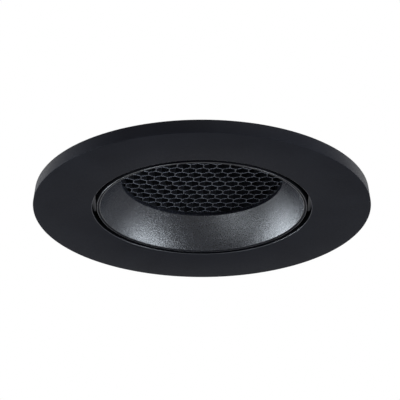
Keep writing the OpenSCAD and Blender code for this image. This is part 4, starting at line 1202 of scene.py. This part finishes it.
def addLamp(name, place, size, power, spread=180, tint=(1, 1, 1), aim=(0, 0, 0)):
    lamp = bpy.data.lights.new(name, "AREA")
    lamp.shape = "RECTANGLE"
    lamp.size, lamp.size_y = size
    lamp.energy = power
    lamp.color = tint
    lamp.spread = radians(spread)  # a grid in front of a box keeps its light off the floor
    thing = bpy.data.objects.new(name, lamp)
    thing.location = place
    thing.rotation_euler = pointedAt(place, aim)
    thing.visible_camera = False
    scene.collection.objects.link(thing)


def seenRays(tree):
    # rays that see the backdrop itself: from the camera, a gloss or through glass
    path = addNode(tree, "ShaderNodeLightPath").outputs
    either = sums(tree, "MAXIMUM", path["Is Camera Ray"], path["Is Glossy Ray"])
    return sums(tree, "MAXIMUM", either, path["Is Transmission Ray"])


def makeStudio(s):
    world = bpy.data.worlds.new("studioWorld")
    scene.world = world
    world.use_nodes = True
    tree = world.node_tree
    backdrop = tree.nodes["Background"]
    strength = addNode(tree, "ShaderNodeMapRange", {
        "Value": seenRays(tree), "To Min": s["ambient"], "To Max": 1.0})
    backdrop.inputs["Color"].default_value = (1, 1, 1, 1)
    tree.links.new(strength.outputs[0], backdrop.inputs["Strength"])

    floorMaterial, tree, shader = blankFinish("floorPaper", {"Roughness": 0.9, "Specular IOR Level": 0.1})
    paper = addNode(tree, "ShaderNodeTexNoise", {"Scale": 40.0, "Detail": 2.0}).outputs["Fac"]
    toned(tree, shader, paper, s["floorTone"], [v * 1.01 for v in s["floorTone"]])
    shader.inputs["Emission Color"].default_value = (1, 1, 1, 1)
    place = addNode(tree, "ShaderNodeTexCoord").outputs["Object"]
    reach = addNode(tree, "ShaderNodeVectorMath", {0: place}, operation="LENGTH").outputs["Value"]
    glow = addNode(tree, "ShaderNodeMapRange", {
        "Value": reach, "From Min": s["glowReach"][0], "From Max": s["glowReach"][1],
        "To Min": s["floorGlow"][0], "To Max": s["floorGlow"][1]}).outputs[0]
    tree.links.new(sums(tree, "MULTIPLY", seenRays(tree), glow), shader.inputs["Emission Strength"])
    half = s["floorSize"] / 2
    shape = bmesh.new()
    shape.faces.new([shape.verts.new((x, y, -s["floorDrop"])) for x, y in
                     ((-half, -half), (half, -half), (half, half), (-half, half))])
    floor = meshObject("floor", shape)
    floor.data.materials.append(floorMaterial)
    for name in ("left", "right", "low", "leftBack", "rightBack", "top"):
        addLamp(name + "Box", tint=s["boxTint"] if name in ("left", "right", "low") else (1, 1, 1), **s[name])


makeStudio(studio)

view = {"distance": 0.804, "below": 25.29, "lens": 271.6, "shift": (-0.00475, 0.0215)}
camera = bpy.data.cameras.new("camera")
camera.lens, camera.sensor_width = view["lens"], 36.0  # millimetres
camera.shift_x, camera.shift_y = view["shift"]
camera.clip_start, camera.clip_end = 0.01, 50.0
cameraObject = bpy.data.objects.new("camera", camera)
faceMiddle = Vector((0, 0, -rimHeight * mm))
below = radians(view["below"])
cameraObject.location = faceMiddle + Vector((0, -cos(below), -sin(below))) * view["distance"]
cameraObject.rotation_euler = (faceMiddle - cameraObject.location).to_track_quat("-Z", "Y").to_euler()
scene.collection.objects.link(cameraObject)
scene.camera = cameraObject
scene.view_settings.view_transform = "Standard"
print("studio made")
